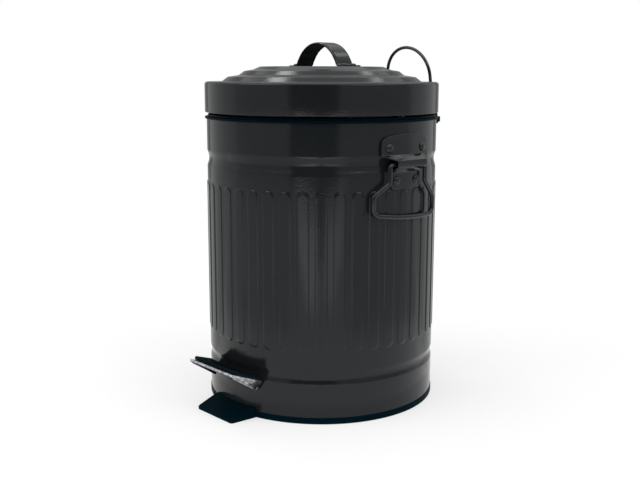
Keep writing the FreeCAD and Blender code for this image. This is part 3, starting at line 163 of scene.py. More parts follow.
def paint(net, coords, look):
    peel = noise(net, coords, look["peelScale"], 2.0)
    wave = noise(net, coords, look["waveScale"], 1.0)
    grain = noise(net, coords, look["grainScale"], 1.0)
    cloud = noise(net, coords, look["cloudScale"], 4.0, 0.6)
    hair = noise(net, stretched(net, coords, look["hairStretch"]), look["hairScale"], 3.0, 0.65)
    rubs = ramp(net, hair, 0.66, 0.80)
    edge = net.make("ShaderNodeNewGeometry", out="Pointiness")
    worn = ramp(net, edge + (cloud - 0.5) * 0.05, 0.545, 0.62)
    tone = blendColour(net, cloud, look["dark"], look["pale"])
    colour = blendColour(net, worn * look["wear"], tone, look["rub"])
    rough = look["roughness"] + cloud * 0.05 + rubs * 0.08 + grain * 0.05
    slow = bump(net, wave, 0.35, 0.0009)
    skin = bump(net, peel, 0.24, 0.00025, slow)
    fine = bump(net, grain, 0.05, 0.00008, skin)
    return colour, rough, fine


# Moulded plastics with a fine grain: cold black, the same black made darker on the rim's collar as painted
# shade under the lid, and the bucket's plain black
plasticLook = {"dark": (0.0002, 0.0056, 0.0092), "pale": (0.0004, 0.0092, 0.0140), "specular": 0.010,
               "grainScale": 1600.0, "roughness": 0.26}
shadedCollarLook = {"dark": (0.0002, 0.0032, 0.0054), "pale": (0.0004, 0.0062, 0.0098), "specular": 0.012,
              "grainScale": 1600.0, "roughness": 0.22}
bucketLook = {"dark": (0.0075, 0.0078, 0.0085), "pale": (0.0125, 0.0128, 0.0135), "specular": 0.40,
              "grainScale": 1100.0, "roughness": 0.36}


def plastic(net, coords, look):
    grain = noise(net, coords, look["grainScale"], 3.0, 0.6)
    cloud = noise(net, coords, 55.0, 3.0)
    flow = noise(net, stretched(net, coords, (30, 30, 120)), 2.0, 2.0)
    colour = blendColour(net, cloud, look["dark"], look["pale"])
    rough = look["roughness"] + grain * 0.14 + flow * 0.10
    skin = bump(net, grain, 0.25, 0.00012)
    return colour, rough, skin


# Rubber of the pad and the lid stops, with a dusty bloom in random patches
rubberLook = {"dark": (0.0004, 0.0050, 0.0074), "pale": (0.0010, 0.0108, 0.0150), "specular": 0.06,
              "grainScale": 2400.0, "bloomScale": 120.0, "roughness": 0.38}


def rubber(net, coords, look):
    grain = noise(net, coords, look["grainScale"], 4.0, 0.7)
    bloom = ramp(net, noise(net, coords, look["bloomScale"], 4.0, 0.6), 0.45, 0.75)
    colour = blendColour(net, bloom, look["dark"], look["pale"])
    rough = look["roughness"] + bloom * 0.18 + grain * 0.08
    skin = bump(net, grain, 0.30, 0.0001)
    return colour, rough, skin


# Metals: bright plating with polishing haze, dull and dark on its unpolished inside, a dark tone that is also
# painted shade on faces turned down, and drawn steel with its draw lines
metalLook = {
    # dark tone of the marked faces: unpolished metal, and painted shade on faces turned down
    "scale": (0.016, 0.016, 0.018),
    "chrome": {"dark": (0.19, 0.19, 0.21), "pale": (0.54, 0.54, 0.58), "roughness": 0.06, "line": 0.05,
               "wave": 120.0, "haze": 240.0, "metallic": 1.0},
    "steel": {"dark": (0.045, 0.045, 0.048), "pale": (0.095, 0.095, 0.10), "roughness": 0.18, "line": 0.12,
              "wave": 30.0, "haze": 90.0, "metallic": 1.0},
}


def metal(net, coords, look):
    haze = ramp(net, noise(net, coords, look["haze"], 3.0, 0.6), 0.36, 0.66)
    lines = noise(net, stretched(net, coords, (900, 40, 900)), 3.0, 2.0)
    pits = noise(net, coords, 1500.0, 2.0)
    bright = blendColour(net, haze, look["dark"], look["pale"])
    dullAndShade = net.make("ShaderNodeAttribute", None, {"attribute_name": "inside"}, "Fac")
    # marked faces take the dark tone: unpolished metal, and painted shade on faces turned down
    colour = blendColour(net, dullAndShade, bright, metalLook["scale"])
    rough = look["roughness"] + haze * 0.10 + lines * look["line"] + dullAndShade * 0.25
    slow = bump(net, noise(net, coords, look["wave"], 1.0), 0.5, 0.0012)
    drawn = bump(net, lines, 0.10, 0.00006, slow)
    skin = bump(net, pits, 0.06, 0.00005, drawn)
    return colour, rough, skin


finishes = {
    "charcoal_paint": makeFinish("charcoalPaint", paint, paintLook),
    "fitting_paint": makeFinish("fittingPaint", paint, fittingLook),
    "black_plastic": makeFinish("blackPlastic", plastic, plasticLook),
    "collar_plastic_shaded": makeFinish("collarPlasticShaded", plastic, shadedCollarLook),
    "bucket_plastic": makeFinish("bucketPlastic", plastic, bucketLook),
    "black_rubber": makeFinish("padRubber", rubber, rubberLook),
    "bright_chrome": makeFinish("brightChrome", metal, metalLook["chrome"]),
    "plain_steel": makeFinish("drawnSteel", metal, metalLook["steel"]),
}
nodeSlots = {entry["node"]: entry["material_slot"] for entry in frame["record"]["subparts"]}
nodeBodies = {node: body for body, nodes in frame["record"]["behaviour"]["bodies"].items() for node in nodes}
print("finishes made:", len(finishes))


# Mesh helpers
def roundedPath(corners, closed=True, steps=6):
    spots = [Vector(corner[0]) for corner in corners]
    path = []
    for index, (_, radius) in enumerate(corners):
        here = spots[index]
        if radius == 0 or (not closed and index in (0, len(spots) - 1)):
            path.append(here)
            continue
        back = (spots[index - 1] - here).normalized()
        ahead = (spots[(index + 1) % len(spots)] - here).normalized()
        angle = back.angle(ahead)
        reach = radius / tan(angle / 2)
        centre = here + (back + ahead).normalized() * radius / sin(angle / 2)
        first = here + back * reach - centre
        last = here + ahead * reach - centre
        turn = pi - angle
        for step in range(steps + 1):
            share = step / steps
            weight = (sin((1 - share) * turn), sin(share * turn))
            path.append(centre + (first * weight[0] + last * weight[1]) / sin(turn))
    return path


def newObject(name, data):
    piece = bpy.data.objects.new(name, data)
    bpy.context.scene.collection.objects.link(piece)
    return piece


def fromBmesh(name, shape, recalc=True):
    if recalc:
        bmesh.ops.recalc_face_normals(shape, faces=shape.faces)
    mesh = bpy.data.meshes.new(name)
    shape.to_mesh(mesh)
    shape.free()
    return newObject(name, mesh)


def bake(piece):
    # the evaluated shape becomes a plain mesh, and the modifiers go
    graph = bpy.context.evaluated_depsgraph_get()
    graph.update()
    mesh = bpy.data.meshes.new_from_object(piece.evaluated_get(graph))
    old = piece.data
    piece.modifiers.clear()
    piece.data = mesh
    bpy.data.meshes.remove(old)


def discard(piece):
    mesh = piece.data
    bpy.data.objects.remove(piece)
    bpy.data.meshes.remove(mesh)


def softShade(piece, angle):
    piece.data.shade_smooth()
    piece.data.set_sharp_from_angle(angle=radians(angle))


def settle(piece, nodes, angle, finish=None):
    # the piece is smooth up to an angle, and takes its nodes' place, body and finish
    softShade(piece, angle)
    body = nodeBodies[nodes[0]]
    slot = nodeSlots[nodes[0]]
    piece.data.materials.clear()
    piece.data.materials.append(finishes[finish or slot])
    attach(piece, body)
    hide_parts(*nodes)
    print("piece", piece.name, len(piece.data.polygons), "faces on", body)
    return piece


def lathe(name, profile, segments):
    # closed outline of (radius, level) in mm turned about Z, in equal steps or at given angles from +Y
    angles = segments
    if isinstance(segments, int):
        angles = [2 * pi * step / segments for step in range(segments)]
    segments = len(angles)
    shape = bmesh.new()
    rings = []
    for radius, level in profile:
        if radius < 1e-6:
            rings.append([shape.verts.new((0, 0, level * mm))])
            continue
        ring = []
        for angle in angles:
            across, along = radius * mm * sin(angle), radius * mm * cos(angle)
            ring.append(shape.verts.new((across, along, level * mm)))
        rings.append(ring)
    for index, ring in enumerate(rings):
        after = rings[(index + 1) % len(rings)]
        if len(ring) == 1 and len(after) == 1:
            continue
        for step in range(segments):
            ahead = (step + 1) % segments
            if len(ring) == 1:
                shape.faces.new((ring[0], after[ahead], after[step]))
            elif len(after) == 1:
                shape.faces.new((ring[step], ring[ahead], after[0]))
            else:
                shape.faces.new((ring[step], ring[ahead], after[ahead], after[step]))
    return fromBmesh(name, shape)


def outline(corners, steps=5):
    # corners of (radius, level, rounding) in mm become a closed outline of (radius, level)
    path = roundedPath([((radius, 0, level), soft) for radius, level, soft in corners], True, steps)
    return [(spot.x, spot.z) for spot in path]


def cutBlock(piece, low, high):
    # takes out the block between two opposite corners in mm
    shape = bmesh.new()
    bmesh.ops.create_cube(shape, size=1.0)
    size = [(high[axis] - low[axis]) * mm for axis in range(3)]
    middle = Vector([(high[axis] + low[axis]) * mm / 2 for axis in range(3)])
    place = Matrix.Translation(middle) @ Matrix.Diagonal((*size, 1))
    bmesh.ops.transform(shape, matrix=place, verts=shape.verts)
    combine(piece, fromBmesh("block", shape), "DIFFERENCE")


def combine(piece, tool, operation):
    # one exact boolean, then the tool is thrown away
    cut = piece.modifiers.new("cut", "BOOLEAN")
    cut.operation = operation
    cut.solver = "EXACT"
    cut.object = tool
    bake(piece)
    discard(tool)
    return piece


def spread(columns):
    # shares from -1 to 1 across a sheet
    return [2 * step / columns - 1 for step in range(columns + 1)]


def cornerTrim(distance, corner):
    # how far a rounded corner draws a side in, at a distance from the end
    if distance >= corner:
        return 0.0
    return corner - sqrt(corner ** 2 - (corner - distance) ** 2)


def weave(shape, rows, flip=False):
    # rows of points in mm become quads between the rows
    points = [[shape.verts.new(Vector(spot) * mm) for spot in row] for row in rows]
    for near, far in zip(points, points[1:]):
        for column in range(len(near) - 1):
            face = [near[column], near[column + 1], far[column + 1], far[column]]
            shape.faces.new(face[::-1] if flip else face)
    return points


def bridge(shape, first, second):
    # quads between two closed rings of points
    for index in range(len(first)):
        after = (index + 1) % len(first)
        shape.faces.new((first[index], first[after], second[after], second[index]))


def gridSheet(name, rows):
    shape = bmesh.new()
    weave(shape, rows)
    return fromBmesh(name, shape, False)


def slab(name, low, high):
    # two layers of rows, one over the other, become a closed block
    shape = bmesh.new()
    rings = []
    for rows, flip in ((low, True), (high, False)):
        points = weave(shape, rows, flip)
        rings.append(points[0] + [row[-1] for row in points[1:]] + points[-1][-2::-1]
                     + [row[0] for row in points[-2:0:-1]])
    bridge(shape, *rings)
    return fromBmesh(name, shape)


def turnOutward(piece):
    shape = bmesh.new()
    shape.from_mesh(piece.data)
    bmesh.ops.recalc_face_normals(shape, faces=shape.faces)
    shape.to_mesh(piece.data)
    shape.free()


def softEdges(piece, width, segments, angle, clamp=False):
    edges = piece.modifiers.new("edges", "BEVEL")
    edges.width = width * mm
    edges.segments = segments
    edges.limit_method = "ANGLE"
    edges.angle_limit = radians(angle)
    edges.use_clamp_overlap = clamp
    bake(piece)


def thicken(piece, wall, soft, segments=2):
    solid = piece.modifiers.new("wall", "SOLIDIFY")
    solid.thickness = wall * mm
    solid.offset = 0
    solid.use_even_offset = True
    softEdges(piece, soft, segments, 28)
    turnOutward(piece)


def fromCad(node, soft):
    # a CAD node's copy, merged and with its edges broken
    shape = bmesh.new()
    shape.from_mesh(frame["nodes"][node].data)
    bmesh.ops.remove_doubles(shape, verts=shape.verts, dist=0.004 * mm)
    bmesh.ops.dissolve_limit(shape, angle_limit=radians(0.6), verts=shape.verts, edges=shape.edges)
    piece = fromBmesh(node + "Fine", shape, False)
    softEdges(piece, soft, 2, 38)
    return settle(piece, [node], 40)


def bulge(level, middle, reach):
    # 1 in the middle of a bead and 0 beyond its reach
    return max(0.0, 1 - ((level - middle) / reach) ** 2)


def beadLevels(middle, reach, steps):
    # levels across a bead, and one step past it on both sides
    return [middle + reach * step / steps for step in range(-steps - 1, steps + 2)]


# Geometry Nodes helpers
def newTree(name, inputs):
    tree = bpy.data.node_groups.new(name, "GeometryNodeTree")
    tree.interface.new_socket("Geometry", in_out="OUTPUT", socket_type="NodeSocketGeometry")
    for label, kind in {"Geometry": "Geometry", **inputs, "Material": "Material"}.items():
        tree.interface.new_socket(label, in_out="INPUT", socket_type="NodeSocket" + kind)
    source = tree.nodes.new("NodeGroupInput")
    given = {socket.name: Net(tree, socket) for socket in source.outputs if socket.name}
    return Net(tree), given


def closeTree(net, given, shape):
    solid = net.make("GeometryNodeRealizeInstances", {"Geometry": shape})
    painted = net.make("GeometryNodeSetMaterial", {"Geometry": solid, "Material": given["Material"]})
    end = net.tree.nodes.new("NodeGroupOutput")
    net.tree.links.new(painted.socket, end.inputs[0])
    return net.tree


def runTree(piece, tree, values):
    step = piece.modifiers.new(tree.name, "NODES")
    step.node_group = tree
    for item in tree.interface.items_tree:
        if item.in_out == "INPUT" and item.name in values:
            step[item.identifier] = values[item.name]
    bake(piece)


def makeRibTree():
    # presses upright ribs with round ends out of a round wall
    measures = ("Count", "Radius", "Foot", "Face", "Rise", "Bottom", "Top", "Phase")
    net, given = newTree("pressRibs", dict.fromkeys(measures, "Float"))
    count, radius, foot, face, rise, bottom, top, phase = [given[label] for label in measures]
    place = net.make("GeometryNodeInputPosition")
    split = net.make("ShaderNodeSeparateXYZ", {0: place}).socket.node
    x, y, z = [Net(net.tree, socket) for socket in split.outputs]
    cell = (net.math("ARCTAN2", x, y) - phase) * count / (2 * pi)
    across = (cell - net.math("ROUND", cell)) * radius * (2 * pi) / count
    middle = (top + bottom) * 0.5
    straight = (top - bottom) * 0.5 - foot * 0.5
    past = net.math("MAXIMUM", net.math("ABSOLUTE", z - middle) - straight, 0.0)
    distance = net.math("SQRT", across * across + past * past)
    lift = smoothStep(net, distance, foot * 0.5, face * 0.5, 0.0, rise)
    reach = net.math("SQRT", x * x + y * y)
    outside = net.math("GREATER_THAN", reach, radius * 0.9975)
    flat = net.make("ShaderNodeCombineXYZ", {"X": x / reach * lift, "Y": y / reach * lift})
    moved = net.make("GeometryNodeSetPosition", {
        "Geometry": given["Geometry"], "Selection": outside, "Offset": flat})
    return closeTree(net, given, moved)


def makeRivetTree():
    # sets one head on every point, turned to the point's facing
    net, given = newTree("setRivets", {"Head": "Object", "Scale": "Float"})
    head = net.make("GeometryNodeObjectInfo", {"Object": given["Head"]}, out="Geometry")
    facing = net.make("GeometryNodeInputNamedAttribute", {"Name": "facing"}, {"data_type": "FLOAT_VECTOR"})
    turn = net.make("FunctionNodeAlignRotationToVector", {"Vector": facing}, {"axis": "Z"})
    heads = net.make("GeometryNodeInstanceOnPoints", {
        "Points": given["Geometry"], "Instance": head, "Rotation": turn, "Scale": given["Scale"]})
    return closeTree(net, given, heads)


def tube(net, path, sides, radius):
    ring = net.make("GeometryNodeCurvePrimitiveCircle", {"Resolution": sides, "Radius": radius})
    return net.make("GeometryNodeCurveToMesh", {
        "Curve": path, "Profile Curve": ring, "Fill Caps": True})


def makeWireTree():
    # a round wire along a path of edges
    net, given = newTree("drawWire", {"Radius": "Float", "Sides": "Int"})
    path = net.make("GeometryNodeMeshToCurve", {"Mesh": given["Geometry"]})
    return closeTree(net, given, tube(net, path, given["Sides"], given["Radius"]))


def makeGripTree():
    # round ribs that start at points and run back as long as each point says
    net, given = newTree("gripRibs", {"Radius": "Float", "Lean": "Float"})
    line = net.make("GeometryNodeCurvePrimitiveLine", {"Start": (0, 0, 0), "End": (0, 1, 0)})
    rib = tube(net, line, 10, given["Radius"])
    length = net.make("GeometryNodeInputNamedAttribute", {"Name": "length"}, {"data_type": "FLOAT"})
    size = net.make("ShaderNodeCombineXYZ", {"X": 1.0, "Y": length, "Z": 1.0})
    turn = net.make("ShaderNodeCombineXYZ", {"X": given["Lean"]})
    ribs = net.make("GeometryNodeInstanceOnPoints", {
        "Points": given["Geometry"], "Instance": rib, "Rotation": turn, "Scale": size})
    return closeTree(net, given, ribs)


ribTree = makeRibTree()
rivetTree = makeRivetTree()
wireTree = makeWireTree()
gripTree = makeGripTree()


def pointObject(name, spots, edges=()):
    mesh = bpy.data.meshes.new(name)
    mesh.from_pydata([Vector(spot) * mm for spot in spots], edges, [])
    return newObject(name, mesh)


def pathObject(name, spots, closed):
    edges = [(index, index + 1) for index in range(len(spots) - 1)]
    return pointObject(name, spots, edges + [(len(spots) - 1, 0)] if closed else edges)


def wirePiece(name, corners, radius, node, closed=False, place=None, sides=20, steps=10, finish=None):
    piece = pathObject(name, roundedPath(corners, closed, steps), closed)
    if place is not None:
        piece.data.transform(place)
    runTree(piece, wireTree, {"Radius": radius * mm, "Sides": sides, "Material": finishes[nodeSlots[node]]})
    turnOutward(piece)
    settle(piece, [node], 50, finish)


# Rivets: a shallow dome on a thin collar
rivet = {"radius": 3.0, "height": 1.55, "collar": 0.35, "crown": 7, "sunk": 0.3, "footShare": 0.94,
         "domeShare": 0.95, "segments": 28}


def rivetHead():
    radius, collar, sunk = rivet["radius"], rivet["collar"], -rivet["sunk"]
    rise = rivet["height"] - collar
    profile = [(0, sunk), (radius * rivet["footShare"], sunk), (radius, 0.0), (radius, collar)]
    for step in range(1, rivet["crown"]):
        angle = radians(90.0 * step / rivet["crown"])
        profile.append((radius * rivet["domeShare"] * cos(angle), collar + rise * sin(angle)))
    head = lathe("rivetHead", profile + [(0, rivet["height"])], rivet["segments"])
    head.data.shade_smooth()
    return head


def rivetPiece(name, spots, node, scale=1.0, finish=None):
    head = rivetHead()
    piece = pointObject(name, [place for place, _ in spots])
    facing = piece.data.attributes.new("facing", "FLOAT_VECTOR", "POINT")
    for index, (_, way) in enumerate(spots):
        facing.data[index].vector = Vector(way).normalized()
    runTree(piece, rivetTree, {"Head": head, "Scale": scale, "Material": finishes[nodeSlots[node]]})
    discard(head)
    settle(piece, [node], 40, finish)


def backSpot(radius, half, level):
    # a spot on the round back, half mm to the side, and the way out there
    angle = pi / 2 + asin(half / radius)
    way = Vector((cos(angle), sin(angle), 0))
    return (way.x * radius, way.y * radius, level), way


# Body shell: two pressed-in beads and a ring of upright ribs
shell = {
    "radius": 100.6, "wall": 0.6, "bottom": 5.6, "top": 245.6, "hem": 0.3,
    "upperBead": (212.0, 1.6, 7.0), "lowerBead": (39.1, 1.0, 5.5),
    "ribs": 43, "ribFoot": 10.2, "ribFace": 8.6, "ribRise": 0.62, "ribBottom": 61.0, "ribTop": 192.0,
    "ribPhase": -1.4, "ribColumns": (0, 1.2, 2.3, 3.3, 4.15, 4.45, 4.75, 5.05, 5.35, 6.3), "ribRow": 0.42,
    "plainLevels": (12, 20, 28, 52, 90, 130, 165, 198, 228, 238),
    "leverSlot": ((-6.0, -110, 26.6), (6.0, -90, 35.1)),
}


def beadDepth(level):
    return sum(deep * bulge(level, middle, reach) ** 1.5
               for middle, deep, reach in (shell["upperBead"], shell["lowerBead"]))


def shellAngles():
    # columns gather along the ribs' edges, so that the edges are crisp
    columns = shell["ribColumns"]
    offsets = [-offset for offset in columns[:0:-1]] + list(columns)
    pitch = 2 * pi / shell["ribs"]
    offsets = [-pitch / 2] + [offset / shell["radius"] for offset in offsets]
    phase = radians(shell["ribPhase"])
    return [phase + pitch * rib + offset for rib in range(shell["ribs"]) for offset in offsets]


def buildShell():
    bottom, top, hem = shell["bottom"], shell["top"], shell["hem"]
    levels = [bottom, bottom + hem, *shell["plainLevels"], top - hem, top]
    for middle, _, reach in (shell["lowerBead"], shell["upperBead"]):
        levels += beadLevels(middle, reach, 6)
    for end, way in ((shell["ribBottom"], 1), (shell["ribTop"], -1)):
        levels += [end + way * shell["ribRow"] * (step - 1) for step in range(15)]
    levels = sorted(set(round(level, 3) for level in levels))
    outer = [(shell["radius"] - beadDepth(level), level) for level in levels]
    inner = [(radius - shell["wall"], level) for radius, level in reversed(outer[::5])]
    face = shell["radius"] - shell["wall"]
    inner = [(face, top), *inner[1:], (face, bottom)]
    piece = lathe("bodyShell", outer + inner, shellAngles())
    lengths = {part: shell["rib" + part] * mm for part in ("Foot", "Face", "Rise", "Bottom", "Top")}
    runTree(piece, ribTree, {
        **lengths, "Count": float(shell["ribs"]), "Radius": shell["radius"] * mm,
        "Phase": radians(shell["ribPhase"]), "Material": finishes["charcoal_paint"]})
    cutBlock(piece, *shell["leverSlot"])
    settle(piece, ["body_shell"], 40)


# Lid: stepped dome, straight skirt, rolled hem, notch for the crank at the back
lid = {
    "radius": 102.0, "bottom": 251.0, "brim": 277.0, "wall": 0.6, "corner": 2.5, "hemWidth": 1.6,
    "hemHeight": 1.4, "stepRound": 2.2, "crown": 289.8, "segments": 320,
    "crankNotch": ((-8.5, 96, 249.0), (8.5, 108, 272.0)),
    "steps": [(87.3, 277.0), (82.0, 281.0), (72.2, 282.5), (67.5, 286.0), (60.0, 287.2), (54.0, 289.8)],
}


def buildLid():
    wall, radius, bottom, brim = lid["wall"], lid["radius"], lid["bottom"], lid["brim"]
    outside = [(reach, level, lid["stepRound"]) for reach, level in lid["steps"]]
    inside = [(reach, level - wall, lid["stepRound"]) for reach, level in reversed(lid["steps"])]
    hem = radius - lid["hemWidth"]
    hemTop = bottom + lid["hemHeight"]
    profile = outline([
        (hem, bottom, 0.6), (radius, bottom, 0.7), (radius, brim, lid["corner"]), *outside,
        (0, lid["crown"], 0), (0, lid["crown"] - wall, 0), *inside,
        (radius - wall, brim - wall, lid["corner"] - wall), (radius - wall, hemTop, 0), (hem, hemTop, 0.4)])
    piece = lathe("lidDome", profile, lid["segments"])
    cutBlock(piece, *lid["crankNotch"])
    settle(piece, ["lid"], 35)


# Rim ring: black collar with a rounded bead under the lid; radius, level and rounding of each corner
rim = {
    "rodNotch": ((1.8, 84, 230), (8.2, 97.8, 255)), "segments": 320,
    "profile": [
        (99.8, 245.6, 0), (102.2, 245.6, 0.7), (102.2, 247.4, 0.9), (99.6, 247.9, 0.4), (99.4, 249.5, 0.4),
        (98.0, 249.5, 0.9), (98.0, 246.5, 0.5), (92.7, 246.5, 0.6), (92.7, 244.7, 0.6), (98.4, 244.7, 0.5),
        (98.4, 236.0, 0.4), (99.8, 236.0, 0.3)],
}


def buildRim():
    piece = lathe("rimCollar", outline(rim["profile"]), rim["segments"])
    cutBlock(piece, *rim["rodNotch"])
    # the collar takes the darker copy of the black plastic, as painted shade under the lid
    settle(piece, ["rim_ring"], 40, "collar_plastic_shaded")


# Base ring with the wedge tongue that keeps the bin from tipping
base = {
    "tip": 122.0, "tipHalf": 24.0, "rootHalf": 26.0, "tipHeight": 2.0, "rootHeight": 8.6, "corner": 2.5,
    "shellFace": 100.8, "seat": 98.0, "columns": 24, "segments": 320,
    "rows": (0.0, 0.005, 0.02, 0.04, 0.07, 0.115, 0.2, 0.4, 0.6, 0.8, 1.0),
    "profile": [(95.0, 0, 0.4), (101.1, 0, 0.8), (101.1, 5.6, 0.5), (99.8, 5.6, 0), (99.8, 8.0, 0.2),
                (95.0, 8.0, 0.4)],
}


def tongueSpot(part, share):
    # share runs from the tip to the shell, and the height grows on the way
    tip = base["tip"]
    half = base["tipHalf"] + (base["rootHalf"] - base["tipHalf"]) * share
    across = part * (half - cornerTrim(share * (tip - base["seat"]), base["corner"]))
    reach = tip + (sqrt(base["shellFace"] ** 2 - across ** 2) - tip) * share
    climb = min(max((tip - reach) / (tip - shell["radius"]), 0), 1)
    return across, -reach, base["tipHeight"] + (base["rootHeight"] - base["tipHeight"]) * climb


def buildBase():
    piece = lathe("baseRing", outline(base["profile"]), base["segments"])
    rows = [[tongueSpot(part, share) for part in spread(base["columns"])] for share in base["rows"]]
    feet = [[(spot[0], spot[1], 0) for spot in row] for row in rows]
    tongue = slab("tongue", feet, rows)
    combine(piece, tongue, "UNION")
    settle(piece, ["base_ring"], 30)


# Strap handle: a flat band bent to an arch, with its long edges turned in
strap = {
    "radius": 27.2, "apex": 310.5, "wall": 1.2, "half": 9.5, "seat": 289.85, "foot": 10.0, "heelGap": 0.9,
    "curl": 0.9, "curlFrom": 0.82, "curlRun": 5.0, "aside": 3.0, "arcSteps": 48, "columns": 20,
    "rivetHalf": 5.0, "rivetScale": 0.95,
}


def buildStrap():
    middle = strap["radius"] - strap["wall"] / 2
    centre = strap["apex"] - strap["radius"]
    level = strap["seat"] + strap["wall"] / 2
    start = asin((level - centre) / middle)
    heel = middle * cos(start)
    foot = [((heel + ahead, level), (0, 1), 0.0)
            for ahead in (strap["foot"], strap["foot"] / 2, strap["heelGap"])]
    arch = []
    for step in range(1, strap["arcSteps"]):
        angle = start + (pi - 2 * start) * step / strap["arcSteps"]
        way = (cos(angle), sin(angle))
        arch.append(((middle * way[0], centre + middle * way[1]), way, 1.0))
    track = foot + arch + [((-spot[0], spot[1]), way, curl) for spot, way, curl in reversed(foot)]
    rows = []
    for index, (spot, way, curl) in enumerate(track):
        fromEnd = min(index, len(track) - 1 - index) - 2
        fade = min(1.0, max(0.0, fromEnd / strap["curlRun"])) * curl
        row = []
        for part in spread(strap["columns"]):
            past = max(0.0, (abs(part) - strap["curlFrom"]) / (1 - strap["curlFrom"]))
            drop = strap["curl"] * past * past * fade
            across = spot[0] - way[0] * drop + strap["aside"]
            row.append((across, part * strap["half"], spot[1] - way[1] * drop))
        rows.append(row)
    piece = gridSheet("strapHandle", rows)
    thicken(piece, strap["wall"], 0.3)
    settle(piece, ["lid_handle"], 35)
    reach, half, seat = heel + strap["foot"] * 0.5, strap["rivetHalf"], strap["seat"] + strap["wall"]
    spots = [((sign * reach + strap["aside"], side * half, seat), (0, 0, 1))
             for sign in (1, -1) for side in (1, -1)]
    rivetPiece("strapRivets", spots, "lid_handle_rivets", strap["rivetScale"])


# Side handle plates: bowed top, folded channel, narrower tab, and the drop bails in them
plate = {
    "reach": 101.45, "bend": 145.0, "wall": 1.2, "half": 27.0, "top": 236.8, "bow": 3.6, "corner": 5.0,
    "shelf": 219.6, "tabHalf": 16.8, "tabCorner": 3.2, "tabBottom": 192.3, "lip": 206.4,
    "channelReach": 108.4, "channelHalf": 17.0, "channelTop": 215.7, "channelBottom": 211.1, "columns": 32,
    "headRows": (0.0, 0.02, 0.06, 0.13, 0.22, 0.34, 0.5, 0.7, 0.88, 1.0),
    "tabRows": (0.0, 0.12, 0.35, 0.6, 0.72, 0.82, 0.9, 0.96, 1.0),
    "rivets": ((19.25, 225.4), (11.2, 199.5)), "rivetScale": 1.22,
}
bail = {
    "reach": 103.8, "slid": -0.7, "level": 212.5, "wire": 1.95, "neck": 20.8, "knee": 198.0, "flare": 35.0,
    "spread": 186.0, "foot": 171.0, "shoulder": 3.2, "bend": 4.0, "footBend": 6.0, "bow": 0.62,
    "footSteps": 10, "skew": 0.06, "sag": 1.8,
}


def plateFace(side):
    # the plate is bent less than the body, so its ends stand off a little
    return plate["reach"] - plate["bend"] + sqrt(plate["bend"] ** 2 - side ** 2)


def plateRows():
    rows = []
    parts = spread(plate["columns"])
    shoulder = plate["top"] - plate["bow"]
    span = shoulder - plate["shelf"]
    for share in plate["headRows"]:
        half = plate["half"] - cornerTrim(share * span, plate["corner"])
        row = []
        for side in [half * part for part in parts]:
            lift = plate["bow"] * (1 - (side / plate["half"]) ** 2) * (1 - share)
            row.append((plateFace(side), side, shoulder - share * span + lift))
        rows.append(row)
    for level in (plate["channelTop"], plate["channelBottom"]):
        rows.append([(plate["channelReach"], plate["channelHalf"] * part, level) for part in parts])
    span = plate["lip"] - plate["tabBottom"]
    for share in plate["tabRows"]:
        half = plate["tabHalf"] - cornerTrim((1 - share) * span, plate["tabCorner"])
        rows.append([(plateFace(half * part), half * part, plate["lip"] - share * span) for part in parts])
    return rows


def bailSpot(along, level):
    # below its neck the wire is bowed round the body and bent a little askew, with a sagging grip
    reach = bail["reach"]
    share = min(max((bail["knee"] - level) / (bail["knee"] - bail["spread"]), 0), 1)
    sunk = reach - sqrt(reach ** 2 - along ** 2)
    drop = bail["skew"] * along * share
    if level == bail["foot"]:
        drop += bail["sag"] * (1 - (along / bail["flare"]) ** 2)
    return reach - sunk * bail["bow"] * share, along + bail["slid"], level - drop


def buildSide(side, heading):
    turn = Matrix.Rotation(radians(heading), 4, "Z")
    piece = gridSheet("sidePlate" + side.title(), plateRows())
    piece.data.transform(turn)
    thicken(piece, plate["wall"], 0.42, 3)
    settle(piece, ["side_bracket_" + side], 32, "fitting_paint")
    spots = []
    for half, level in plate["rivets"]:
        for sign in (1, -1):
            way = Vector((sqrt(plate["bend"] ** 2 - half ** 2), sign * half, 0)).normalized()
            spot = Vector((plateFace(half), sign * half, level)) + way * plate["wall"] / 2
            spots.append((turn @ spot, turn @ way))
    rivetPiece("sideRivets" + side.title(), spots, "side_rivets_" + side, plate["rivetScale"],
               "fitting_paint")
    neck, flare, foot, steps = bail["neck"], bail["flare"], bail["foot"], bail["footSteps"]
    leg = [(neck, bail["level"], bail["shoulder"]), (neck, bail["knee"], bail["bend"]),
           (flare, bail["spread"], bail["bend"]), (flare, foot, bail["footBend"])]
    grip = [(flare * (1 - 2 * step / steps), foot, 0) for step in range(1, steps)]
    otherLeg = [(-along, level, soft) for along, level, soft in reversed(leg)]
    path = [(bailSpot(along, level), soft)
            for along, level, soft in [(0, bail["level"], 0), *leg, *grip, *otherLeg]]
    wirePiece("dropBail" + side.title(), path, bail["wire"], "side_bail_" + side, True, turn,
              finish="fitting_paint")


# Pedal: plated tread with rolled edges, ribbed rubber pad on it
pedal = {
    "front": 124.5, "level": 42.5, "lean": 18.8, "half": 28.0, "lipDrop": 3.6, "roll": 1.0, "heelReach": 99.6,
    "heelLevel": 24.6, "raise": 1.8, "rearRaise": 0.8, "lipRaise": 1.2, "ahead": 0.7, "wider": 0.03,
    "flare": 0.26, "footFlare": 0.04, "root": 98.0, "rootPlay": 4.0, "lipBand": 2.0,
}
pad = {
    "front": 118.5, "half": 28.6, "wall": 2.2, "back": 102.1, "edge": 0.5, "seat": 0.05, "columns": 36,
    "ribs": 21, "ribPitch": 2.7, "ribRadius": 0.85, "ribInset": 0.5, "ribGap": 0.6,
}


def treadLevel(reach):
    return pedal["level"] - (pedal["front"] - reach) * tan(radians(pedal["lean"]))


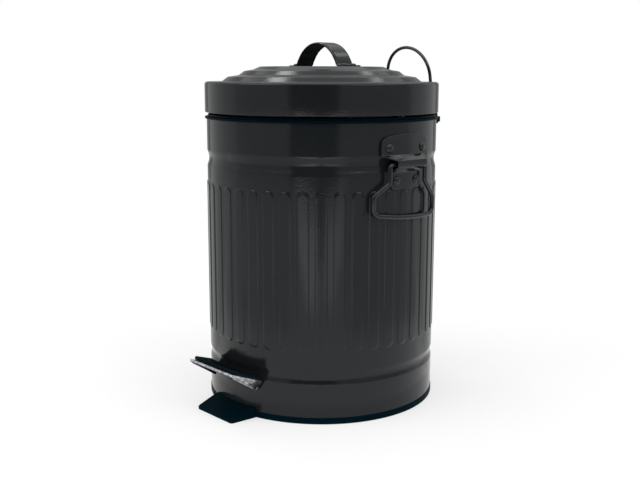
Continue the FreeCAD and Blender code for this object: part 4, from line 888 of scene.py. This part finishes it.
def fitTread(spot):
    # lifts the tread and spreads its top towards the body; the lever behind it stays
    reach, front, root, heel = -spot[1], pedal["front"], pedal["root"], pedal["heelLevel"]
    if reach < root - pedal["rootPlay"]:
        return Vector(spot)
    share = min(max((front - reach) / (front - root), 0), 1)
    height = min(max((spot[2] - heel) / (treadLevel(reach) - heel), 0), 1)
    outward = min(abs(spot[0]) / pedal["half"], 1) ** 2
    level = spot[2] + pedal["raise"] * (1 - share) + pedal["rearRaise"] * share * height * outward
    if reach > front - pedal["lipBand"] and spot[2] < pedal["level"] - pedal["lipBand"]:
        level += pedal["lipRaise"]
    flare = pedal["footFlare"] + (pedal["flare"] - pedal["footFlare"]) * height
    side = spot[0] * (1 + (pedal["wider"] * (1 - share) + flare * share) * outward)
    return Vector((side, spot[1] - pedal["ahead"] * (1 - share), level))


def fitPedal(piece):
    for corner in piece.data.vertices:
        corner.co = fitTread(corner.co / mm) * mm
    piece.data.update()
    return piece


def markDullAndShade(piece, limit=-0.25):
    # the stamping's unpolished side, whose dark tone is also painted shade where faces turn down: its
    # underside and the inner faces of its flanges
    dullAndShadeFlags = []
    for face in piece.data.polygons:
        under = face.normal.z < limit and abs(face.normal.x) < 0.5
        inward = abs(face.normal.x) > 0.7 and face.normal.x * face.center.x < 0
        dullAndShadeFlags.append(1.0 if under or inward else 0.0)
    piece.data.attributes.new("inside", "FLOAT", "FACE").data.foreach_set("value", dullAndShadeFlags)


def buildTread():
    markDullAndShade(fitPedal(fromCad("pedal_lever", 0.22)))
    lipLevel = pedal["level"] - pedal["lipDrop"] + pedal["roll"] * 0.4
    inset = pedal["half"] - pedal["roll"]
    reach = pedal["front"] - pedal["roll"] * 0.9
    heelReach, heelLevel = pedal["heelReach"], pedal["heelLevel"]
    rolls = [("pedalLip", [((-inset, -reach, lipLevel), 0), ((inset, -reach, lipLevel), 0)])]
    for name, side in (("Right", inset), ("Left", -inset)):
        rolls.append(("pedalRoll" + name, [
            ((side, -reach + 1.5, lipLevel - 0.3), 0), ((side, -heelReach, heelLevel + 0.9), 1.2),
            ((side, -heelReach + 1.0, heelLevel + 3.4), 0)]))
    for name, corners in rolls:
        piece = pathObject(name, [fitTread(spot) for spot in roundedPath(corners, False, 8)], False)
        runTree(piece, wireTree, {
            "Radius": pedal["roll"] * mm, "Sides": 16, "Material": finishes["bright_chrome"]})
        softShade(piece, 50)
        # the rolls' lower halves take the dark tone as painted shade
        markDullAndShade(piece, 0.0)
        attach(piece, "pedal")


def padBack(side):
    return sqrt(pad["back"] ** 2 - side ** 2)


def padSpot(part, share, rise):
    side = pad["half"] * part
    reach = pad["front"] + (padBack(side) - pad["front"]) * share
    return fitTread((side, -reach, treadLevel(reach) + rise))


def buildPad():
    lean = radians(pedal["lean"])
    lift = pad["wall"] / cos(lean)
    layers = [[[padSpot(part, share, rise) for part in spread(pad["columns"])] for share in (0.0, 0.5, 1.0)]
              for rise in (pad["seat"], lift)]
    piece = slab("pedalPad", *layers)
    softEdges(piece, pad["edge"], 3, 40, True)
    settle(piece, ["pedal_pad"], 40)
    front = pad["front"] - pad["ribInset"]
    sides = [pad["ribPitch"] * (number - (pad["ribs"] - 1) / 2) for number in range(pad["ribs"])]
    lengths = [(front - padBack(side) - pad["ribGap"]) * mm / cos(lean) for side in sides]
    grip = pointObject("padGrip", [(side, -front, treadLevel(front) + lift) for side in sides])
    grip.data.attributes.new("length", "FLOAT", "POINT").data.foreach_set("value", lengths)
    runTree(grip, gripTree, {
        "Radius": pad["ribRadius"] * mm, "Lean": -lean, "Material": finishes["black_rubber"]})
    fitPedal(grip)
    softShade(grip, 50)
    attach(grip, "pedal")


# Wires: loop at the back, push rod, bucket handle
loop = {"half": 27.0, "height": 71.5, "foot": 1.55, "lean": 9.65, "footY": 120.4, "footLevel": 237.9,
        "bendGap": 0.15, "wire": 1.5}
rod = {"side": 5.0, "y": 95.3, "low": 16.0, "high": 263.0, "tail": 4.5, "bend": 3.5, "wire": 1.5}
handle = {"end": 96.3, "half": 90.0, "level": 250.2, "bend": 3.0, "sweep": 85.75, "wire": 1.25}


def mirrored(corners):
    return corners + [((-spot[0], spot[1], spot[2]), soft) for spot, soft in reversed(corners)]


def buildWires():
    lean = Matrix.Translation(Vector((0, loop["footY"], loop["footLevel"])) * mm)
    lean = lean @ Matrix.Rotation(radians(loop["lean"]), 4, "X")
    half = loop["half"]
    corners = mirrored([((-half, 0, loop["foot"]), 0), ((-half, 0, loop["height"]), half - loop["bendGap"])])
    wirePiece("carryLoop", corners, loop["wire"], "carry_loop", False, lean, 20, 32)
    side, tail, y, bend = rod["side"], -rod["tail"], rod["y"], rod["bend"]
    corners = [((tail, y, rod["low"]), 0), ((side, y, rod["low"]), bend), ((side, y, rod["high"]), bend),
               ((tail, y, rod["high"]), 0)]
    wirePiece("pushRod", corners, rod["wire"], "push_rod")
    half, level = handle["half"], handle["level"]
    corners = mirrored([((handle["end"], 0, level), 0), ((half, 0, level), handle["bend"]),
                        ((half, -half, level), handle["sweep"])])
    wirePiece("bucketHandle", corners, handle["wire"], "bucket_bail", False, None, 16, 32)


# Inner bucket: tapered, with stacking beads, a flat flange and two lugs for its handle
bucket = {
    "floor": 42.0, "floorRadius": 76.0, "topRadius": 89.6, "rim": 97.0, "ledge": 246.7, "top": 248.5,
    "wall": 1.6, "beads": (96.0, 150.0, 204.0), "beadReach": 3.2, "beadDepth": 0.6, "footIn": 60.0,
    "footOut": 62.0, "footRise": 1.2, "flangeCut": ((-37.0, 90.2, 240), (37.0, 110, 260)), "segments": 192,
}
lug = {"half": 4.0, "bottom": 247.5, "top": 254.2, "round": 3.6, "near": 93.2, "far": 95.6, "bore": 1.35}


def bucketRadius(level):
    share = (level - bucket["floor"]) / (bucket["ledge"] - bucket["floor"])
    radius = bucket["floorRadius"] + (bucket["topRadius"] - bucket["floorRadius"]) * share
    return radius - bucket["beadDepth"] * sum(
        bulge(level, middle, bucket["beadReach"]) for middle in bucket["beads"])


def makeLug(sign):
    half, bottom, top, soft = lug["half"], lug["bottom"], lug["top"], lug["round"]
    spots = roundedPath([((0, -half, bottom), 0), ((0, half, bottom), 0), ((0, half, top), soft),
                         ((0, -half, top), soft)], True, 10)
    shape = bmesh.new()
    ends = []
    for reach in (lug["near"], lug["far"]):
        ends.append([shape.verts.new(Vector((sign * reach, spot.y, spot.z)) * mm) for spot in spots])
        shape.faces.new(ends[-1])
    bridge(shape, *ends)
    piece = fromBmesh("bailLug", shape)
    bore = lathe("lugBore", [(0, -6), (lug["bore"], -6), (lug["bore"], 6), (0, 6)], 24)
    middle = Vector((sign * (lug["near"] + lug["far"]) / 2, 0, handle["level"])) * mm
    bore.data.transform(Matrix.Translation(middle) @ Matrix.Rotation(radians(90), 4, "Y"))
    return combine(piece, bore, "DIFFERENCE")


def buildBucket():
    wall, floor, ledge, top = bucket["wall"], bucket["floor"], bucket["ledge"], bucket["top"]
    raised = floor + bucket["footRise"]
    levels = []
    for middle in bucket["beads"]:
        levels += beadLevels(middle, bucket["beadReach"], 4)
    outside = [(bucketRadius(level), level, 0) for level in levels]
    inside = [(bucketRadius(level) - wall, level, 0) for level in reversed(levels)]
    profile = outline([
        (0, raised, 0), (bucket["footIn"], raised, 0), (bucket["footOut"], floor, 0.5),
        (bucket["floorRadius"], floor, 4.0), *outside, (bucket["topRadius"], ledge, 0),
        (bucket["rim"], ledge, 0.6), (bucket["rim"], top, 0.6), (bucket["topRadius"] - wall, top, 0.8),
        *inside, (bucket["floorRadius"] - wall, floor + wall, 2.4), (bucket["footOut"], floor + wall, 0.5),
        (bucket["footIn"], raised + wall, 0), (0, raised + wall, 0)])
    piece = lathe("innerBucket", profile, bucket["segments"])
    cutBlock(piece, *bucket["flangeCut"])
    for sign in (1, -1):
        combine(piece, makeLug(sign), "UNION")
    settle(piece, ["inner_bucket"], 32)


buildShell()
buildLid()
buildRim()
buildBase()
buildStrap()
buildSide("right", 0)
buildSide("left", 180)
buildTread()
buildPad()
buildWires()
buildBucket()

# Rivets at the back, and the small pieces that keep their CAD shape with broken edges
hinge = {"plateFace": 103.65, "plateLevel": 229.0, "plateHalves": (12.6, 27.2), "armFace": 103.25,
         "armLevel": 259.0, "armHalf": 13.0}
softPieces = {
    "hinge_bracket": 0.35, "lid_hinge_arm": 0.2, "hinge_pin": 0.25, "pedal_bracket": 0.2,
    "pedal_pivot_pin": 0.25, "rod_guide": 0.3, "base_plate": 0.15, "lid_buffers": 0.25,
    "pedal_bracket_rivets": 0.15,
}
plateSpots = [backSpot(hinge["plateFace"], sign * half, hinge["plateLevel"])
              for half in hinge["plateHalves"] for sign in (1, -1)]
rivetPiece("hingeBracketRivets", plateSpots, "hinge_bracket_rivets")
armSpots = [backSpot(hinge["armFace"], sign * hinge["armHalf"], hinge["armLevel"]) for sign in (1, -1)]
rivetPiece("hingeArmRivets", armSpots, "lid_hinge_rivets")
for node, soft in softPieces.items():
    fromCad(node, soft)
print("object built")

# Floor, lights and camera
stage = {
    "floor": 6.0, "floorColour": (0.93, 0.93, 0.93), "speckle": 0.98, "speckleScale": 400.0, "fill": 0.72,
    "glow": 0.55, "glowFrom": 0.22, "glowTo": 0.8, "cardReach": 1.6, "cardSteps": 16, "lampSides": 0.8,
    "lampTarget": (0, 0, 0.15),
}
# first and last angle of a standing card, its height and its shade
cards = {
    "darkCard": (-30.0, 16.0, 1.3, 0.004), "leftGrey": (-88.0, -30.0, 1.0, 0.50),
    "rightGrey": (16.0, 92.0, 1.0, 0.45), "leftBack": (-144.0, -88.0, 1.3, 0.68),
    "rightBack": (92.0, 144.0, 1.3, 0.72), "leftFlag": (-149.0, -144.0, 1.3, 0.10),
    "rightFlag": (144.0, 149.0, 1.3, 0.10), "greyBackdrop": (149.0, 211.0, 1.3, 0.37),
}
# first and last angle and reach of a floor card's near edge, then of its far edge, and its shade
floorCards = {
    "nearFloor": ((-100.0, 100.0, 0.14), (-100.0, 100.0, 0.34), 1.15),
    "leftFloor": ((-100.0, -25.0, 0.36), (-100.0, -25.0, 1.5), 0.82),
    "rightFloor": ((24.0, 100.0, 0.36), (24.0, 100.0, 1.5), 0.70),
    "gleamLeft": ((-11.0, -3.0, 0.46), (-25.0, -3.0, 1.56), 2.1),
    "gleamRight": ((3.0, 10.0, 0.48), (3.0, 23.0, 1.56), 1.80),
    "gap": ((-3.0, 3.0, 0.70), (-4.0, 4.0, 1.42), 0.50),
    "wedge": ((-4.0, 4.0, 1.26), (-22.0, 22.0, 1.59), 0.06),
    "shade": ((105.0, 255.0, 0.16), (105.0, 255.0, 1.6), 0.70),
}
# place, width and power
lamps = {
    "keyLeft": ((-0.55, -1.35, 1.25), 1.4, 9.0), "keyRight": ((1.55, 0.35, 1.15), 1.4, 8.0),
    "topSoft": ((0.2, -0.2, 2.0), 1.4, 8.0), "backLeft": ((-1.03, 0.13, 1.95), 0.42, 2.6),
    "backRight": ((-0.30, 1.20, 1.85), 0.28, 0.6), "strapGleam": ((0.42, 1.49, 1.93), 0.5, 1.5),
}
view = {"azimuth": 47.5, "distance": 810.3, "height": 283.7, "pitch": 10.34, "roll": 0.15, "side": -1.1,
        "focalPixels": 911.1, "width": 640.0, "sensor": 36.0}


def seenRays(net):
    # 1 for the rays that show the background: straight, mirrored and through glass
    path = net.tree.nodes.new("ShaderNodeLightPath")
    rays = [Net(net.tree, path.outputs["Is %s Ray" % kind]) for kind in ("Camera", "Glossy", "Transmission")]
    return net.math("MINIMUM", rays[0] + rays[1] + rays[2], 1.0)


def makeFloorFinish():
    material, net = newMaterial("paleFloor")
    coords = objectCoords(net)
    speckle = noise(net, coords, stage["speckleScale"], 3.0)
    pale = stage["floorColour"]
    tone = blendColour(net, speckle, tuple(stage["speckle"] * value for value in pale), pale)
    matt = net.make("ShaderNodeBsdfDiffuse", {"Color": tone})
    glow = net.make("ShaderNodeEmission", {"Color": (1, 1, 1, 1), "Strength": 1.0})
    reach = net.make("ShaderNodeVectorMath", {0: coords}, {"operation": "LENGTH"}, "Value")
    far = smoothStep(net, reach, stage["glowFrom"], stage["glowTo"], stage["glow"], 1.0)
    shader = net.make("ShaderNodeMixShader", {0: seenRays(net) * far, 1: matt, 2: glow})
    closeShader(net, shader)
    return material


def buildFloor():
    shape = bmesh.new()
    bmesh.ops.create_grid(shape, x_segments=8, y_segments=8, size=stage["floor"])
    floor = fromBmesh("paleFloor", shape, False)
    floor.data.materials.append(makeFloorFinish())


def cardRow(first, last, reach, level):
    steps = stage["cardSteps"]
    angles = [radians(view["azimuth"] + first + (last - first) * step / steps) for step in range(steps + 1)]
    return [(reach * sin(angle) / mm, -reach * cos(angle) / mm, level / mm) for angle in angles]


def buildCards():
    # studio cards round the bin and on the floor, for its gloss alone, at angles from the camera's side
    sheets = []
    for name, (first, last, height, shade) in cards.items():
        rows = [cardRow(first, last, stage["cardReach"], level) for level in (0.0, height)]
        sheets.append((name, rows, shade))
    for level, (name, (near, far, shade)) in enumerate(floorCards.items(), 1):
        sheets.append((name, [cardRow(*edge, level * mm / 2) for edge in (near, far)], shade))
    for name, rows, shade in sheets:
        card = gridSheet(name, rows)
        material, net = newMaterial(name)
        glow = net.make("ShaderNodeEmission", {"Color": (shade, shade, shade, 1), "Strength": 1.0})
        closeShader(net, glow)
        card.data.materials.append(material)
        for rays in ("camera", "diffuse", "shadow", "transmission"):
            setattr(card, "visible_" + rays, False)


def buildWorld():
    world = bpy.data.worlds.new("studio")
    bpy.context.scene.world = world
    net = clearNodes(world)
    strength = seenRays(net) * (1 - stage["fill"]) + stage["fill"]
    glow = net.make("ShaderNodeBackground", {"Color": (1, 1, 1, 1), "Strength": strength})
    closeShader(net, glow, "World")


def buildLights():
    for name, (place, size, power) in lamps.items():
        light = bpy.data.lights.new(name, "AREA")
        light.shape = "RECTANGLE"
        light.size = size
        light.size_y = size * stage["lampSides"]
        light.energy = power
        lamp = newObject(name, light)
        lamp.visible_camera = False
        lamp.location = place
        way = Vector(stage["lampTarget"]) - Vector(place)
        lamp.rotation_euler = way.to_track_quat("-Z", "Y").to_euler()


def buildCamera():
    angle = radians(view["azimuth"])
    lens = bpy.data.cameras.new("photoCamera")
    lens.sensor_width = view["sensor"]
    lens.lens = view["sensor"] * view["focalPixels"] / view["width"]
    lens.clip_start = 0.01
    camera = newObject("photoCamera", lens)
    right = Vector((cos(angle), sin(angle), 0))
    out = Vector((sin(angle), -cos(angle), 0))
    camera.location = (out * view["distance"] + right * view["side"]) * mm
    camera.location.z = view["height"] * mm
    turn = Matrix.Rotation(angle, 4, "Z") @ Matrix.Rotation(radians(90 - view["pitch"]), 4, "X")
    turn = turn @ Matrix.Rotation(radians(view["roll"]), 4, "Z")
    camera.rotation_euler = turn.to_euler()
    bpy.context.scene.camera = camera


buildFloor()
buildCards()
buildWorld()
buildLights()
buildCamera()
bpy.context.scene.view_settings.view_transform = "Standard"
print("stage built")
